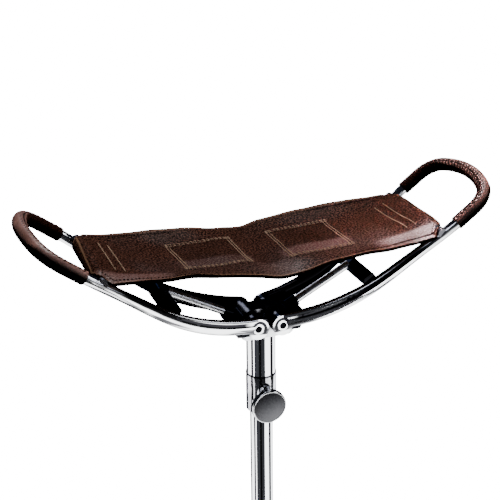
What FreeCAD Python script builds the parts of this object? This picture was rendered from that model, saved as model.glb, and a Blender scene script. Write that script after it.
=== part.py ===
import FreeCAD, Part
import math
import os
import re

import Sketcher
from FreeCAD import Placement, Rotation, Vector

# A folding walking stick seat. Two wing frames, each a cast loop of rail and handle, hinge on a hub
# at the top of a stick, and a leather sling hangs between them.
# Millimetres. The origin is the centre of the foot's bottom face, +Z runs up the stick, +X across
# the seat, and the clamp knob is at the front, towards -Y.

doc = FreeCAD.newDocument("walking_stick_seat")
sheet = doc.addObject("Spreadsheet::Sheet", "sizes")

# Driving dimensions, one group for each part of the object
DIMENSIONS = {
    # hinge of the two wings
    "pivot_height": 660.0,
    "pin_offset": 10.7,
    "pin_radius": 3.0,
    "pin_length": 49.0,
    "lug_radius": 9.0,
    "lug_inside": 18.0,
    "lug_outside": 25.0,
    "bush_radius": 4.4,
    "bush_play": 0.05,
    # hub casting
    "hub_half_width": 17.0,
    "hub_base_low": -12.5,
    "hub_stop_level": -7.1,
    "hub_base_reach": 22.5,
    "hub_top": 10.7,
    "hub_boss_half_width": 9.0,
    "hub_cheek_radius": 8.6,
    "hub_slot_half": 1.0,
    "hub_slot_floor": 4.0,
    "hub_spigot_low": -24.5,
    "sweep_radius": 11.1,
    # tubes of the stick
    "outer_tube_radius": 12.5,
    "outer_tube_wall": 1.5,
    "outer_tube_low": -85.0,
    "lower_tube_radius": 10.0,
    "lower_tube_wall": 1.5,
    "lower_tube_foot": 8.0,
    "lower_tube_top": -26.0,
    "slide_play": 0.08,
    "height_travel": 35.0,
    "guide_bush_length": 12.0,
    "travel_gap": 0.3,
    # clamp at the lower end of the outer tube
    "collar_radius": 13.1,
    "collar_top": -52.0,
    "collar_low": -87.0,
    "collar_lip": 1.8,
    "collar_boss_radius": 11.2,
    "collar_boss_nose": 9.6,
    "collar_boss_front": 15.4,
    "collar_neck_radius": 6.0,
    "collar_neck_front": 18.3,
    "knob_level": -77.0,
    "knob_radius": 15.3,
    "knob_front": 21.6,
    "knob_back": 15.9,
    "knob_round": 1.8,
    "knob_well_radius": 7.2,
    "knob_well_floor": 18.8,
    "knob_face_thickness": 1.4,
    "screw_radius": 3.0,
    "thread_play": 0.06,
    "pad_radius": 3.9,
    "pad_back": 11.6,
    "pad_front": 10.1,
    "pad_nose_radius": 2.4,
    "pad_nose_end": 8.8,
    "pad_well_back": 13.1,
    "keyway_half_width": 2.5,
    # foot
    "ferrule_height": 46.0,
    "ferrule_foot_radius": 19.0,
    "ferrule_neck_radius": 13.2,
    "ferrule_floor": 8.0,
    # rails of a wing, measured along each rail's own upright plane from the hinge pin
    "rail_hub_side": 21.7,
    "handle_half_width": 47.5,
    "handle_corner_across": 152.2,
    "rail_start_run": 9.5,
    "rail_start_rise": 4.0,
    "rail_start_slope": 7.5,
    "rail_end_slope": 36.2,
    "rail_radius": 173.0,
    "rail_first_run": 1.5,
    "rail_change_run": 18.0,
    "rail_hub_width": 7.4,
    "rail_mid_width": 8.6,
    "rail_hub_depth": 13.0,
    "rail_squareness": 3.4,
    "bead_rise": 0.75,
    "cove_depth": 0.45,
    # handle loop
    "handle_core_radius": 4.5,
    "handle_leather_radius": 6.0,
    "handle_leather_start": 154.5,
    "handle_leg_end": 169.7,
    "handle_tip": 191.2,
    "handle_corner_radius": 22.0,
    "handle_bend_radius": 60.0,
    # web, crossbar, strut and seat bar of a wing
    "web_inner": 20.5,
    "web_outer": 30.5,
    "web_top": 8.6,
    "web_foot": -7.0,
    "crossbar_across": 85.0,
    "crossbar_lift": 5.0,
    "crossbar_breadth": 11.0,
    "crossbar_depth": 12.0,
    "crossbar_round": 2.5,
    "strut_radius": 3.5,
    "strut_low_across": 23.6,
    "strut_low_rise": 5.2,
    "strut_high_across": 80.0,
    "strut_high_rise": 35.0,
    "strut_boss_radius": 5.3,
    "strut_boss_length": 10.0,
    "seat_bar_radius": 4.0,
    "seat_bar_across": 141.5,
    "seat_bar_rise": 71.5,
    "seat_bar_inset": 0.6,
    # leather sling
    "leather_thickness": 2.4,
    "lining_thickness": 1.2,
    "lining_inset": 8.0,
    "sling_half_width": 54.0,
    "sling_hem_half_width": 33.6,
    "sling_end_across": 136.0,
    "sling_corner_across": 132.0,
    "sling_middle_rise": 60.0,
    "sling_slope": 0.075,
    "sling_valley_depth": 2.0,
    "sling_valley_span": 8.0,
    "sling_upturn_across": 100.0,
    "sling_upturn": 5.1,
    "sling_hollow_across": 18.0,
    "sling_hollow_length": 110.0,
    "sling_hollow_depth": 4.1,
    "sling_far_lift": 3.0,
    "sling_far_lift_across": 50.0,
    "sling_flap_across": 105.0,
    "sling_flap_drop": 1.4,
    "patch_across": 44.0,
    "patch_half_side": 29.0,
}
for row, (alias, number) in enumerate(DIMENSIONS.items(), start=1):
    sheet.set(f"A{row}", alias.replace("_", " "))
    sheet.set(f"B{row}", str(number))
    sheet.setAlias(f"B{row}", alias)
doc.recompute()

FRONT = Rotation(Vector(1, 0, 0), 90)  # turns a shape's own Z axis to point at the front, -Y
BACK = Rotation(Vector(1, 0, 0), -90)
TOWARDS_FRONT = True  # a pocket sketched on the XZ plane cuts towards -Y only when it is reversed


def size(alias):
    return float(sheet.get(alias))


def formula(text):
    """The text as a document expression, with every alias read from the sheet."""
    return re.sub(r"[a-z_]+", lambda w: f"sizes.{w[0]}" if w[0] in DIMENSIONS else w[0], text)


def value(text):
    result = sheet.evalExpression(formula(text))
    return float(getattr(result, "Value", result))


def bind(thing, **bindings):
    """Bind properties to sheet formulas; a double underscore stands for the dot in a property path."""
    for prop, text in bindings.items():
        thing.setExpression(prop.replace("__", "."), formula(text))


# Bodies made from sketches


def new_body(label, level="0"):
    body = doc.addObject("PartDesign::Body", label)
    body.Label = label
    bind(body, Placement__Base__z=level)
    return body


def sketch_on(body, role, name, offset=None):
    plane = next(f for f in body.Origin.OriginFeatures if f.Role == role)
    sketch = body.newObject("Sketcher::SketchObject", name)
    sketch.AttachmentSupport = [(plane, "")]
    sketch.MapMode = "FlatFace"
    if offset:
        sketch.setExpression("AttachmentOffset.Base.z", formula(offset))
    return sketch


def place_point(sketch, line, end, across, up):
    """Hold one end of a line at two sheet formulas."""
    for text, kind, axis in ((across, "DistanceX", -2), (up, "DistanceY", -1)):
        if abs(value(text)) < 1e-9:
            sketch.addConstraint(Sketcher.Constraint("PointOnObject", line, end, axis))
            continue
        rule = Sketcher.Constraint(kind, -1, 1, line, end, value(text))
        index = sketch.addConstraint(rule)
        sketch.setExpression(f"Constraints[{index}]", formula(text))


def polygon(sketch, corners):
    """Close an outline through the corners, each an (across, up) pair of sheet formulas."""
    points = [Vector(value(a), value(b), 0) for a, b in corners]
    lines = [
        sketch.addGeometry(Part.LineSegment(start, points[(k + 1) % len(points)]), False)
        for k, start in enumerate(points)
    ]
    for k, line in enumerate(lines):
        following = lines[(k + 1) % len(lines)]
        sketch.addConstraint(Sketcher.Constraint("Coincident", line, 2, following, 1))
        place_point(sketch, line, 1, *corners[k])


def circle(sketch, radius, across="0", up="0"):
    centre = Vector(value(across), value(up), 0)
    ring = sketch.addGeometry(Part.Circle(centre, Vector(0, 0, 1), value(radius)), False)
    rule = sketch.addConstraint(Sketcher.Constraint("Radius", ring, value(radius)))
    sketch.setExpression(f"Constraints[{rule}]", formula(radius))
    place_point(sketch, ring, 3, across, up)


def pad(body, sketch, length, both_ways=False, name="Pad"):
    feature = body.newObject("PartDesign::Pad", name)
    feature.Profile = (sketch, [""])
    feature.SideType = "Symmetric" if both_ways else "One side"
    bind(feature, Length=length)
    return feature


def pocket(body, sketch, length, both_ways=False, reverse=False):
    """Cut the sketch's outline away, and make sure that the cut took something."""
    doc.recompute()
    before = body.Shape.Volume
    feature = body.newObject("PartDesign::Pocket", "Pocket")
    feature.Profile = (sketch, [""])
    feature.SideType = "Symmetric" if both_ways else "One side"
    feature.Reversed = reverse
    bind(feature, Length=length)
    doc.recompute()
    if body.Shape.Volume > before - 0.01:
        raise RuntimeError(f"the pocket in {body.Label} cuts nothing")
    return feature


def turned(label, corners, level="0"):
    """A body turned about its own Z axis from an outline of (radius, height) formulas."""
    body = new_body(label, level)
    sketch = sketch_on(body, "XZ_Plane", label + "_outline")
    polygon(sketch, corners)
    turn = body.newObject("PartDesign::Revolution", "Revolution")
    turn.Profile = (sketch, [""])
    turn.ReferenceAxis = (sketch, ["V_Axis"])
    turn.Angle = 360
    return body


def round_edges(body, radius, wanted, kind="PartDesign::Fillet"):
    """Round or chamfer the edges of the body that the test picks out."""
    doc.recompute()
    names = [f"Edge{k}" for k, edge in enumerate(body.Shape.Edges, start=1) if wanted(edge)]
    if not names:
        raise RuntimeError(f"no edge to finish on {body.Label}")
    base = body.Tip
    feature = body.newObject(kind, kind.split("::")[1])
    feature.Base = (base, names)
    bind(feature, **{"Radius" if kind.endswith("Fillet") else "Size": radius})
    doc.recompute()


# Plain solids


def cylinder(name, radius, length, across="0", level="0", forward="0", turn=Rotation()):
    """A round bar whose start and size follow the sheet; level is measured from the hinge pins."""
    bar = doc.addObject("Part::Cylinder", name)
    bind(bar, Radius=radius, Height=length)
    bar.Placement.Rotation = turn
    bind(
        bar,
        Placement__Base__x=across,
        Placement__Base__y=forward,
        Placement__Base__z=f"pivot_height + {level}",
    )
    return bar


def fuse(name, *shapes):
    joined = doc.addObject("Part::MultiFuse", name)
    joined.Shapes = list(shapes)
    joined.Refine = True
    return joined


def cut(name, base, *tools):
    """Take the tools away from the base one after another; the last result carries the name."""
    for tool in tools:
        result = doc.addObject("Part::Cut", name + "_cut")
        result.Base = base
        result.Tool = tool
        base = result
    result.Label = name
    return result


def computed(name, shape):
    feature = doc.addObject("Part::Feature", name)
    feature.Shape = shape
    return feature


# Foot: steel washer and plug inside a rubber ferrule
def make_foot():
    inside = "lower_tube_radius + 0.05"
    rubber = turned(
        "rubber_ferrule",
        [
            ("0", "0"),
            ("ferrule_foot_radius", "0"),
            ("ferrule_foot_radius", "7"),
            ("ferrule_foot_radius - 2.5", "10"),
            ("ferrule_neck_radius + 1.2", "16"),
            ("ferrule_neck_radius + 1.2", "19"),
            ("ferrule_neck_radius", "21"),
            ("ferrule_neck_radius", "ferrule_height - 4"),
            ("ferrule_neck_radius - 1", "ferrule_height"),
            (inside, "ferrule_height"),
            (inside, "ferrule_floor - 1.5"),
            ("0", "ferrule_floor - 1.5"),
        ],
    )
    tread = sketch_on(rubber, "XY_Plane", "tread_grooves")
    for radius in ("ferrule_foot_radius - 4", "ferrule_foot_radius - 6"):
        circle(tread, radius)
    for radius in ("ferrule_foot_radius - 9", "ferrule_foot_radius - 11"):
        circle(tread, radius)
    pocket(rubber, tread, "1.6", reverse=True)
    turned(
        "ferrule_washer",
        [("0", "0"), ("lower_tube_radius", "0"), ("lower_tube_radius", "1.5"), ("0", "1.5")],
        "ferrule_floor - 1.5",
    )
    bore = "lower_tube_radius - lower_tube_wall"
    turned(
        "foot_plug",
        [("0", "0"), (bore, "0"), (bore, "20"), (bore + " - 1", "21"), ("0", "21")],
        "lower_tube_foot",
    )


# Lower tube, with the keyway that the clamp's nose rides in, and the bush at its top
def make_lower_tube():
    tube = new_body("lower_tube", "lower_tube_foot")
    ring = sketch_on(tube, "XY_Plane", "tube_section")
    circle(ring, "lower_tube_radius")
    circle(ring, "lower_tube_radius - lower_tube_wall")
    pad(tube, ring, "pivot_height + lower_tube_top - lower_tube_foot")
    low = "pivot_height + knob_level - lower_tube_foot - keyway_half_width - 0.5"
    high = "pivot_height + knob_level - lower_tube_foot + height_travel + keyway_half_width + 0.5"
    keyway = sketch_on(tube, "XZ_Plane", "keyway_outline")
    polygon(
        keyway,
        [
            ("-keyway_half_width", low),
            ("keyway_half_width", low),
            ("keyway_half_width", high),
            ("-keyway_half_width", high),
        ],
    )
    pocket(tube, keyway, "lower_tube_radius + 2", reverse=TOWARDS_FRONT)
    inner = "lower_tube_radius"
    outer = "outer_tube_radius - outer_tube_wall - slide_play"
    turned(
        "guide_bush",
        [(inner, "0"), (outer, "0"), (outer, "guide_bush_length"), (inner, "guide_bush_length")],
        "pivot_height + lower_tube_top - guide_bush_length",
    )


# Hub casting: a base with two stop ledges, four cheeks and a centre boss, on a spigot in the tube
def make_hub():
    hub = new_body("hub_casting", "pivot_height")
    base = sketch_on(hub, "XZ_Plane", "base_outline")
    polygon(
        base,
        [
            ("-hub_base_reach + 3", "hub_base_low"),
            ("hub_base_reach - 3", "hub_base_low"),
            ("hub_base_reach", "hub_base_low + 2.2"),
            ("hub_base_reach", "hub_stop_level"),
            ("pin_offset + 7.8", "hub_stop_level"),
            ("pin_offset + 6", "-4"),
            ("-pin_offset - 6", "-4"),
            ("-pin_offset - 7.8", "hub_stop_level"),
            ("-hub_base_reach", "hub_stop_level"),
            ("-hub_base_reach", "hub_base_low + 2.2"),
        ],
    )
    pad(hub, base, "2 * hub_half_width", both_ways=True)
    for side in ("", "-"):
        cheek = sketch_on(hub, "XZ_Plane", "cheek_outline")
        circle(cheek, "hub_cheek_radius", side + "pin_offset")
        pad(hub, cheek, "2 * hub_half_width", both_ways=True)
    filling = sketch_on(hub, "XZ_Plane", "filling_outline")
    polygon(
        filling,
        [
            ("-pin_offset", "-5"),
            ("pin_offset", "-5"),
            ("pin_offset", "hub_slot_floor"),
            ("-pin_offset", "hub_slot_floor"),
        ],
    )
    pad(hub, filling, "2 * hub_half_width", both_ways=True)
    for side in ("", "-"):
        knuckle = sketch_on(hub, "XZ_Plane", "knuckle_outline")
        circle(knuckle, "hub_top", side + "pin_offset")
        pad(hub, knuckle, "2 * hub_boss_half_width", both_ways=True)
        block = sketch_on(hub, "XZ_Plane", "block_outline")
        edge, inner = side + "(pin_offset)", side + "(hub_slot_half)"
        polygon(block, [(inner, "0"), (edge, "0"), (edge, "hub_top"), (inner, "hub_top")])
        pad(hub, block, "2 * hub_boss_half_width", both_ways=True)
    spigot = sketch_on(hub, "XY_Plane", "spigot_section", "hub_spigot_low")
    circle(spigot, "outer_tube_radius - outer_tube_wall")
    pad(hub, spigot, "hub_base_low - hub_spigot_low")
    for side in ("", "-"):
        bore = sketch_on(hub, "XZ_Plane", "pin_bore")
        circle(bore, "pin_radius", side + "pin_offset")
        pocket(hub, bore, "4 * hub_half_width", both_ways=True)
    rivet = sketch_on(hub, "YZ_Plane", "cross_pin_bore")
    circle(rivet, "2", "0", "(hub_base_low + hub_spigot_low) / 2 - 1")
    pocket(hub, rivet, "4 * outer_tube_radius", both_ways=True)

    def lower_base_edge(edge):
        middle = edge.CenterOfMass
        low = value("pivot_height + hub_base_low")
        return edge.Length > 30 and abs(middle.z - low) < 0.01 and abs(middle.y) < 0.01

    round_edges(hub, "1.5", lower_base_edge)


def make_pins():
    for name, side in (("left", "-"), ("right", "")):
        pin = turned(
            name + "_hinge_pin",
            [
                ("0", "-pin_length / 2"),
                ("pin_radius - 0.5", "-pin_length / 2"),
                ("pin_radius", "-pin_length / 2 + 0.5"),
                ("pin_radius", "pin_length / 2 - 0.5"),
                ("pin_radius - 0.5", "pin_length / 2"),
                ("0", "pin_length / 2"),
            ],
            "pivot_height",
        )
        pin.Placement.Rotation = FRONT
        bind(pin, Placement__Base__x=side + "pin_offset")
    cross = turned(
        "hub_cross_pin",
        [
            ("0", "-outer_tube_radius"),
            ("2", "-outer_tube_radius"),
            ("2", "outer_tube_radius"),
            ("0", "outer_tube_radius"),
        ],
        "pivot_height + (hub_base_low + hub_spigot_low) / 2 - 1",
    )
    cross.Placement.Rotation = Rotation(Vector(0, 1, 0), 90)
    washers = []
    for side in ("", "-"):
        for forward, turn in (("hub_half_width", BACK), ("-hub_half_width", FRONT)):
            where = {"across": side + "pin_offset", "forward": forward, "turn": turn}
            disc = cylinder("washer_disc", "hub_cheek_radius - 0.6", "0.9", **where)
            hole = cylinder("washer_hole", "pin_radius", "0.9", **where)
            washers.append(cut("washer", disc, hole))
    group = doc.addObject("Part::Compound", "hinge_washers")
    group.Links = washers
    group.Label = "hinge_washers"


# Outer tube, and the clamp at its lower end: collar with a screw boss, bush, pad, screw and knob
def make_outer_tube():
    tube = new_body("outer_tube", "pivot_height + outer_tube_low")
    ring = sketch_on(tube, "XY_Plane", "tube_section")
    circle(ring, "outer_tube_radius")
    circle(ring, "outer_tube_radius - outer_tube_wall")
    pad(tube, ring, "hub_base_low - outer_tube_low")
    rivet = sketch_on(tube, "YZ_Plane", "cross_pin_bore")
    circle(rivet, "2", "0", "(hub_base_low + hub_spigot_low) / 2 - 1 - outer_tube_low")
    pocket(tube, rivet, "4 * outer_tube_radius", both_ways=True)
    well = sketch_on(tube, "XZ_Plane", "pad_well")
    circle(well, "pad_radius + 0.1", "0", "knob_level - outer_tube_low")
    pocket(tube, well, "2 * outer_tube_radius", reverse=TOWARDS_FRONT)


def make_clamp():
    level = "knob_level"
    sleeve = cylinder("collar_sleeve", "collar_radius", "collar_top - collar_low",
                      level="collar_low")
    boss = doc.addObject("Part::Cone", "collar_boss")
    bind(
        boss,
        Radius1="collar_boss_radius",
        Radius2="collar_boss_nose",
        Height="collar_boss_front - 6",
        Placement__Base__y="-6",
        Placement__Base__z="pivot_height + knob_level",
    )
    boss.Placement.Rotation = FRONT
    neck = cylinder("collar_neck", "collar_neck_radius", "collar_neck_front - 6", level=level,
                    forward="-6", turn=FRONT)
    bore = cylinder("collar_bore", "outer_tube_radius", "collar_top - outer_tube_low",
                    level="outer_tube_low")
    mouth = cylinder("collar_mouth", "lower_tube_radius + slide_play + 0.12", "20",
                     level="collar_low - 5")
    thread = cylinder("thread_bore", "screw_radius + thread_play", "30", level=level, turn=FRONT)
    well = cylinder("pad_well", "pad_radius + 0.1", "pad_well_back", level=level, turn=FRONT)
    cut("clamp_collar", fuse("collar_blank", sleeve, boss, neck), bore, mouth, thread, well)

    bush = new_body("collar_bush", "pivot_height + outer_tube_low")
    ring = sketch_on(bush, "XY_Plane", "bush_section")
    circle(ring, "outer_tube_radius - outer_tube_wall")
    circle(ring, "lower_tube_radius + slide_play")
    highest = "lower_tube_top - guide_bush_length - height_travel - travel_gap"
    pad(bush, ring, highest + " - outer_tube_low")
    hole = sketch_on(bush, "XZ_Plane", "pad_hole")
    circle(hole, "pad_radius + 0.1", "0", "knob_level - outer_tube_low")
    pocket(bush, hole, "2 * outer_tube_radius", reverse=TOWARDS_FRONT)

    def clamp_part(label, corners):
        piece = turned(label, corners, "pivot_height + knob_level")
        piece.Placement.Rotation = FRONT
        return piece

    clamp_part(
        "clamp_pad",
        [
            ("0", "pad_nose_end"),
            ("pad_nose_radius", "pad_nose_end"),
            ("pad_nose_radius", "pad_front"),
            ("pad_radius", "pad_front"),
            ("pad_radius", "pad_back"),
            ("0", "pad_back"),
        ],
    )
    clamp_part(
        "clamp_screw",
        [
            ("0", "pad_back"),
            ("screw_radius - 0.5", "pad_back"),
            ("screw_radius", "pad_back + 0.5"),
            ("screw_radius", "knob_front - knob_face_thickness"),
            ("0", "knob_front - knob_face_thickness"),
        ],
    )
    knob = clamp_part(
        "knob",
        [
            ("screw_radius", "knob_well_floor"),
            ("knob_well_radius", "knob_well_floor"),
            ("knob_well_radius + 0.6", "knob_back"),
            ("knob_radius - 0.8", "knob_back"),
            ("knob_radius", "knob_back + 1"),
            ("knob_radius", "knob_front"),
            ("0", "knob_front"),
            ("0", "knob_front - knob_face_thickness"),
            ("screw_radius", "knob_front - knob_face_thickness"),
        ],
    )

    def front_rim(edge):
        curve = edge.Curve
        rim = isinstance(curve, Part.Circle) and abs(curve.Radius - size("knob_radius")) < 0.01
        return rim and abs(curve.Center.y + size("knob_front")) < 0.01

    round_edges(knob, "knob_round", front_rim)


# Shape of a rail: an arc in an upright plane that spreads outwards from the hub, then straight
def spread_angle():
    rise = size("handle_half_width") - size("rail_hub_side")
    return math.atan2(rise, size("handle_corner_across") - size("pin_offset"))


def rail_arc(run):
    """Slope and height of the rail's centreline at a run from the pin, along its upright plane."""
    start = math.radians(size("rail_start_slope"))
    last = math.radians(size("rail_end_slope"))
    radius = size("rail_radius")
    arc_end = size("rail_start_run") + radius * (math.sin(last) - math.sin(start))
    on_arc = min(run, arc_end)
    slope = math.asin(math.sin(start) + (on_arc - size("rail_start_run")) / radius)
    height = size("rail_start_rise") + radius * (math.cos(start) - math.cos(slope))
    return slope, height + max(0.0, run - arc_end) * math.tan(slope)


def rail_place(run, side):
    """Point, direction, outward way and upward way of the rail's centreline."""
    slope, height = rail_arc(run)
    spread = spread_angle()
    along = Vector(math.cos(spread), side * math.sin(spread), 0)
    point = Vector(size("pin_offset"), side * size("rail_hub_side"), size("pivot_height") + height)
    point += along * run
    outward = Vector(-math.sin(spread), side * math.cos(spread), 0)
    direction = along * math.cos(slope) + Vector(0, 0, math.sin(slope))
    upward = Vector(0, 0, math.cos(slope)) - along * math.sin(slope)
    return point, direction, outward, upward


OUTLINE_STEPS = 28
RAIL_STATIONS = 9
BEAD_TURN = math.radians(58)
COVE_TURN = math.radians(27)
BEAD_SPAN = math.radians(15)


def rail_outline(run, last_run, side):
    """A rail's section: a squared oval with a bead on its top outer edge and a cove under it.

    It turns into the handle's round section as the run nears its last value.
    """
    change = size("rail_change_run")
    near = min(1.0, max(0.0, (run - change) / (last_run - change)))
    plain = near * near * (3 - 2 * near)
    core = size("handle_core_radius")
    swell = math.sin(math.pi * min(1.0, near * 1.4))
    wide = size("rail_hub_width") + (2 * core - size("rail_hub_width")) * plain
    wide += (size("rail_mid_width") - size("rail_hub_width")) * max(0.0, swell) * 0.6
    deep = size("rail_hub_depth") + (2 * core - size("rail_hub_depth")) * plain
    power = size("rail_squareness") + (2.0 - size("rail_squareness")) * plain
    point, direction, outward, upward = rail_place(run, side)
    corners = []
    for step in range(OUTLINE_STEPS):
        turn = 2 * math.pi * step / OUTLINE_STEPS
        across, up = math.cos(turn), math.sin(turn)
        oval = abs(2 * across / wide) ** power + abs(2 * up / deep) ** power
        reach = oval ** (-1 / power)
        bead = size("bead_rise") * math.exp(-((turn - BEAD_TURN) / BEAD_SPAN) ** 2)
        cove = size("cove_depth") * math.exp(-((turn - COVE_TURN) / BEAD_SPAN) ** 2)
        reach += (bead - cove) * (1 - plain)
        corners.append(point + outward * (reach * across) + upward * (reach * up))
    curve = Part.BSplineCurve()
    curve.interpolate(corners, PeriodicFlag=True)
    return Part.Wire(curve.toShape())


def handle_plane():
    """Slope of the plane that holds both straight rails and the handle loop."""
    return math.atan(math.tan(math.radians(size("rail_end_slope"))) / math.cos(spread_angle()))


def handle_point(across, side_way):
    """A point of the handle's plane from its distance across the seat and its side offset."""
    last_run = (size("handle_corner_across") - size("pin_offset")) / math.cos(spread_angle())
    rise = rail_arc(last_run)[1]
    lift = (across - size("handle_corner_across")) * math.tan(handle_plane())
    return Vector(across, side_way, size("pivot_height") + rise + lift)


def arc_on(centre, radius, first, last):
    """An arc of the handle's plane round a centre of (along, side), between two directions."""
    points = []
    for turn in (first, (first + last) / 2, last):
        along = centre[0] + radius * math.cos(turn)
        side_way = centre[1] + radius * math.sin(turn)
        points.append(handle_point(along * math.cos(handle_plane()), side_way))
    return Part.Arc(*points).toShape()


def bend_turn():
    """Angle of the bend from rail to handle, and the length that its arc takes from each run."""
    lean = math.asin(math.sin(spread_angle()) * math.cos(math.radians(size("rail_end_slope"))))
    return lean, size("handle_bend_radius") * math.tan(lean / 2)


def handle_path(from_rails):
    """The loop's centreline, from the end of the leather or, with its bends, from the rails."""
    tilt = math.cos(handle_plane())
    half = size("handle_half_width")
    corner = size("handle_corner_radius")
    leg_end = size("handle_leg_end") / tilt
    tip = size("handle_tip") / tilt
    # the end arc touches both corner arcs from outside, which fixes its radius
    reach = tip - leg_end
    offset = half - corner
    end_radius = (reach**2 + offset**2 - corner**2) / (2 * (reach - corner))
    end_centre = tip - end_radius
    meet = math.atan2(offset, leg_end - end_centre)
    straight_from = size("handle_leather_start")
    bends = []
    if from_rails:
        radius = size("handle_bend_radius")
        lean, touch = bend_turn()
        bend_along = size("handle_corner_across") / tilt + touch
        straight_from = bend_along * tilt
        for side in (-1, 1):
            centre = (bend_along, side * (half - radius))
            bends.append(arc_on(centre, radius, side * (math.pi / 2 + lean), side * math.pi / 2))
    last_straight = size("handle_leg_end")
    legs = [
        Part.makeLine(handle_point(straight_from, s * half), handle_point(last_straight, s * half))
        for s in (-1, 1)
    ]
    corners = [arc_on((leg_end, s * offset), corner, s * math.pi / 2, s * meet) for s in (-1, 1)]
    end = arc_on((end_centre, 0), end_radius, -meet, meet)
    edges = bends[:1] + legs[:1] + corners[:1] + [end] + corners[1:] + legs[1:] + bends[1:]
    return Part.Wire(Part.__sortEdges__(edges))


def rail_last_run():
    """Run at which the straight rail gives way to the bend into the handle."""
    touch = bend_turn()[1]
    whole = (size("handle_corner_across") - size("pin_offset")) / math.cos(spread_angle())
    return whole - touch * math.cos(math.radians(size("rail_end_slope")))


def round_tube(path, radius):
    """A round bar swept along the path."""
    start = path.Vertexes[0].Point
    first = path.Edges[0]
    forwards = first.Vertexes[0].Point.isEqual(start, 1e-5)
    begin = first.FirstParameter if forwards else first.LastParameter
    ring = Part.Circle(start, first.tangentAt(begin), radius).toShape()
    return path.makePipeShell([Part.Wire(ring)], True, False)


def wing_rails():
    """Both rails, each lofted through its sections, and the lug round the hinge pin at its foot."""
    last_run = rail_last_run()
    step = (last_run - size("rail_first_run")) / (RAIL_STATIONS - 1)
    solids = []
    for side, name, forward in ((-1, "near", "-lug_outside"), (1, "far", "lug_inside")):
        outlines = [
            rail_outline(size("rail_first_run") + step * k, last_run, side)
            for k in range(RAIL_STATIONS)
        ]
        solids.append(computed(name + "_rail", Part.makeLoft(outlines, True, False)))
        solids.append(cylinder(name + "_lug", "lug_radius", "lug_outside - lug_inside", "pin_offset",
                               forward=forward, turn=BACK))
    return solids


def wing_web():
    """The plate that joins the rails beside the hub, with a foot that lands on the hub's ledge."""
    web = new_body("web_casting", "pivot_height")
    outline = sketch_on(web, "XZ_Plane", "web_outline")
    polygon(
        outline,
        [
            ("pin_offset + 6", "web_foot"),
            ("web_outer - 3", "web_foot"),
            ("web_outer", "-1"),
            ("web_outer", "web_top + 0.6"),
            ("web_inner", "web_top"),
            ("pin_offset + 6", "3"),
        ],
    )
    pad(web, outline, "2 * lug_inside + 6", both_ways=True)
    return web


def wing_crossbar():
    """The rounded bar between the rails that the strut's upper end stands in."""
    across = size("crossbar_across")
    run = (across - size("pin_offset")) / math.cos(spread_angle())
    slope, height = rail_arc(run)
    bar = doc.addObject("Part::Box", "crossbar_block")
    bind(bar, Length="crossbar_breadth", Height="crossbar_depth")
    half_length = size("rail_hub_side") + run * math.sin(spread_angle())
    bar.Width = 2 * half_length
    lean = Rotation(Vector(0, 1, 0), -math.degrees(slope))
    middle = Vector(across, 0, size("pivot_height") + height + size("crossbar_lift"))
    corner = Vector(-size("crossbar_breadth") / 2, -half_length, -size("crossbar_depth") / 2)
    bar.Placement = Placement(middle + lean.multVec(corner), lean)
    rounded = doc.addObject("Part::Fillet", "crossbar")
    rounded.Base = bar
    doc.recompute()
    long_edges = [k for k, edge in enumerate(bar.Shape.Edges, 1) if edge.Length > half_length]
    rounded.Edges = [(k, size("crossbar_round"), size("crossbar_round")) for k in long_edges]
    return rounded


def strut_rod(name, radius, share=None):
    """A round bar on the strut's line, as long as the strut unless a length is given."""
    low = Vector(size("strut_low_across"), 0, size("pivot_height") + size("strut_low_rise"))
    high = Vector(size("strut_high_across"), 0, size("pivot_height") + size("strut_high_rise"))
    rod = doc.addObject("Part::Cylinder", name)
    bind(rod, Radius=radius)
    rod.Height = (high - low).Length if share is None else share
    rod.Placement = Placement(low, Rotation(Vector(0, 0, 1), high - low))
    return rod


def bar_end():
    """Distance from the middle to where the seat bar is ground flush with the rail."""
    run = (size("seat_bar_across") - size("pin_offset")) / math.cos(spread_angle())
    middle = size("rail_hub_side") + run * math.sin(spread_angle())
    return middle + size("handle_core_radius") - size("seat_bar_inset")


def seat_bar(name):
    half = str(round(bar_end(), 3))
    return cylinder(name, "seat_bar_radius", f"2 * {half}", "seat_bar_across", "seat_bar_rise",
                    "-" + half, BACK)


def wing_frame():
    """One casting of both rails, web and crossbar, with its bores and room for the hub."""
    solids = wing_rails()
    core = round_tube(handle_path(True), size("handle_core_radius"))
    solids.append(computed("handle_core", core))
    boss = strut_rod("strut_boss", "strut_boss_radius", size("strut_boss_length"))
    solids += [wing_web(), wing_crossbar(), boss]
    blank = fuse("wing_blank", *solids)
    tools = [
        cylinder("bush_bore", "bush_radius", "2 * lug_outside + 2", "pin_offset",
                 forward="-lug_outside - 1", turn=BACK),
        cylinder("hub_clearance", "sweep_radius", "2 * lug_inside", "pin_offset",
                 forward="-lug_inside", turn=BACK),
        strut_rod("strut_bore", "strut_radius"),
        seat_bar("seat_bar_bore"),
    ]
    doc.recompute()
    casting = blank.Shape
    for tool in tools:
        casting = casting.cut(tool.Shape)
    return computed("right_wing_frame", casting.Solids[0])


def handle_leather():
    """The leather sleeve over the handle loop."""
    skin = round_tube(handle_path(False), size("handle_leather_radius"))
    hollow = round_tube(handle_path(False), size("handle_core_radius"))
    return cut("right_handle_leather", computed("leather_outside", skin),
               computed("leather_inside", hollow))


def lug_bushes():
    """The plain bearing that is pressed into each lug."""
    bushes = []
    for forward in ("-lug_outside", "lug_inside"):
        where = {"across": "pin_offset", "forward": forward, "turn": BACK}
        length = "lug_outside - lug_inside"
        outside = cylinder("bush_outside", "bush_radius", length, **where)
        inside = cylinder("bush_inside", "pin_radius + bush_play", length, **where)
        bushes.append(cut("lug_bush", outside, inside))
    group = doc.addObject("Part::Compound", "right_lug_bushes")
    group.Links = bushes
    return group


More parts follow.
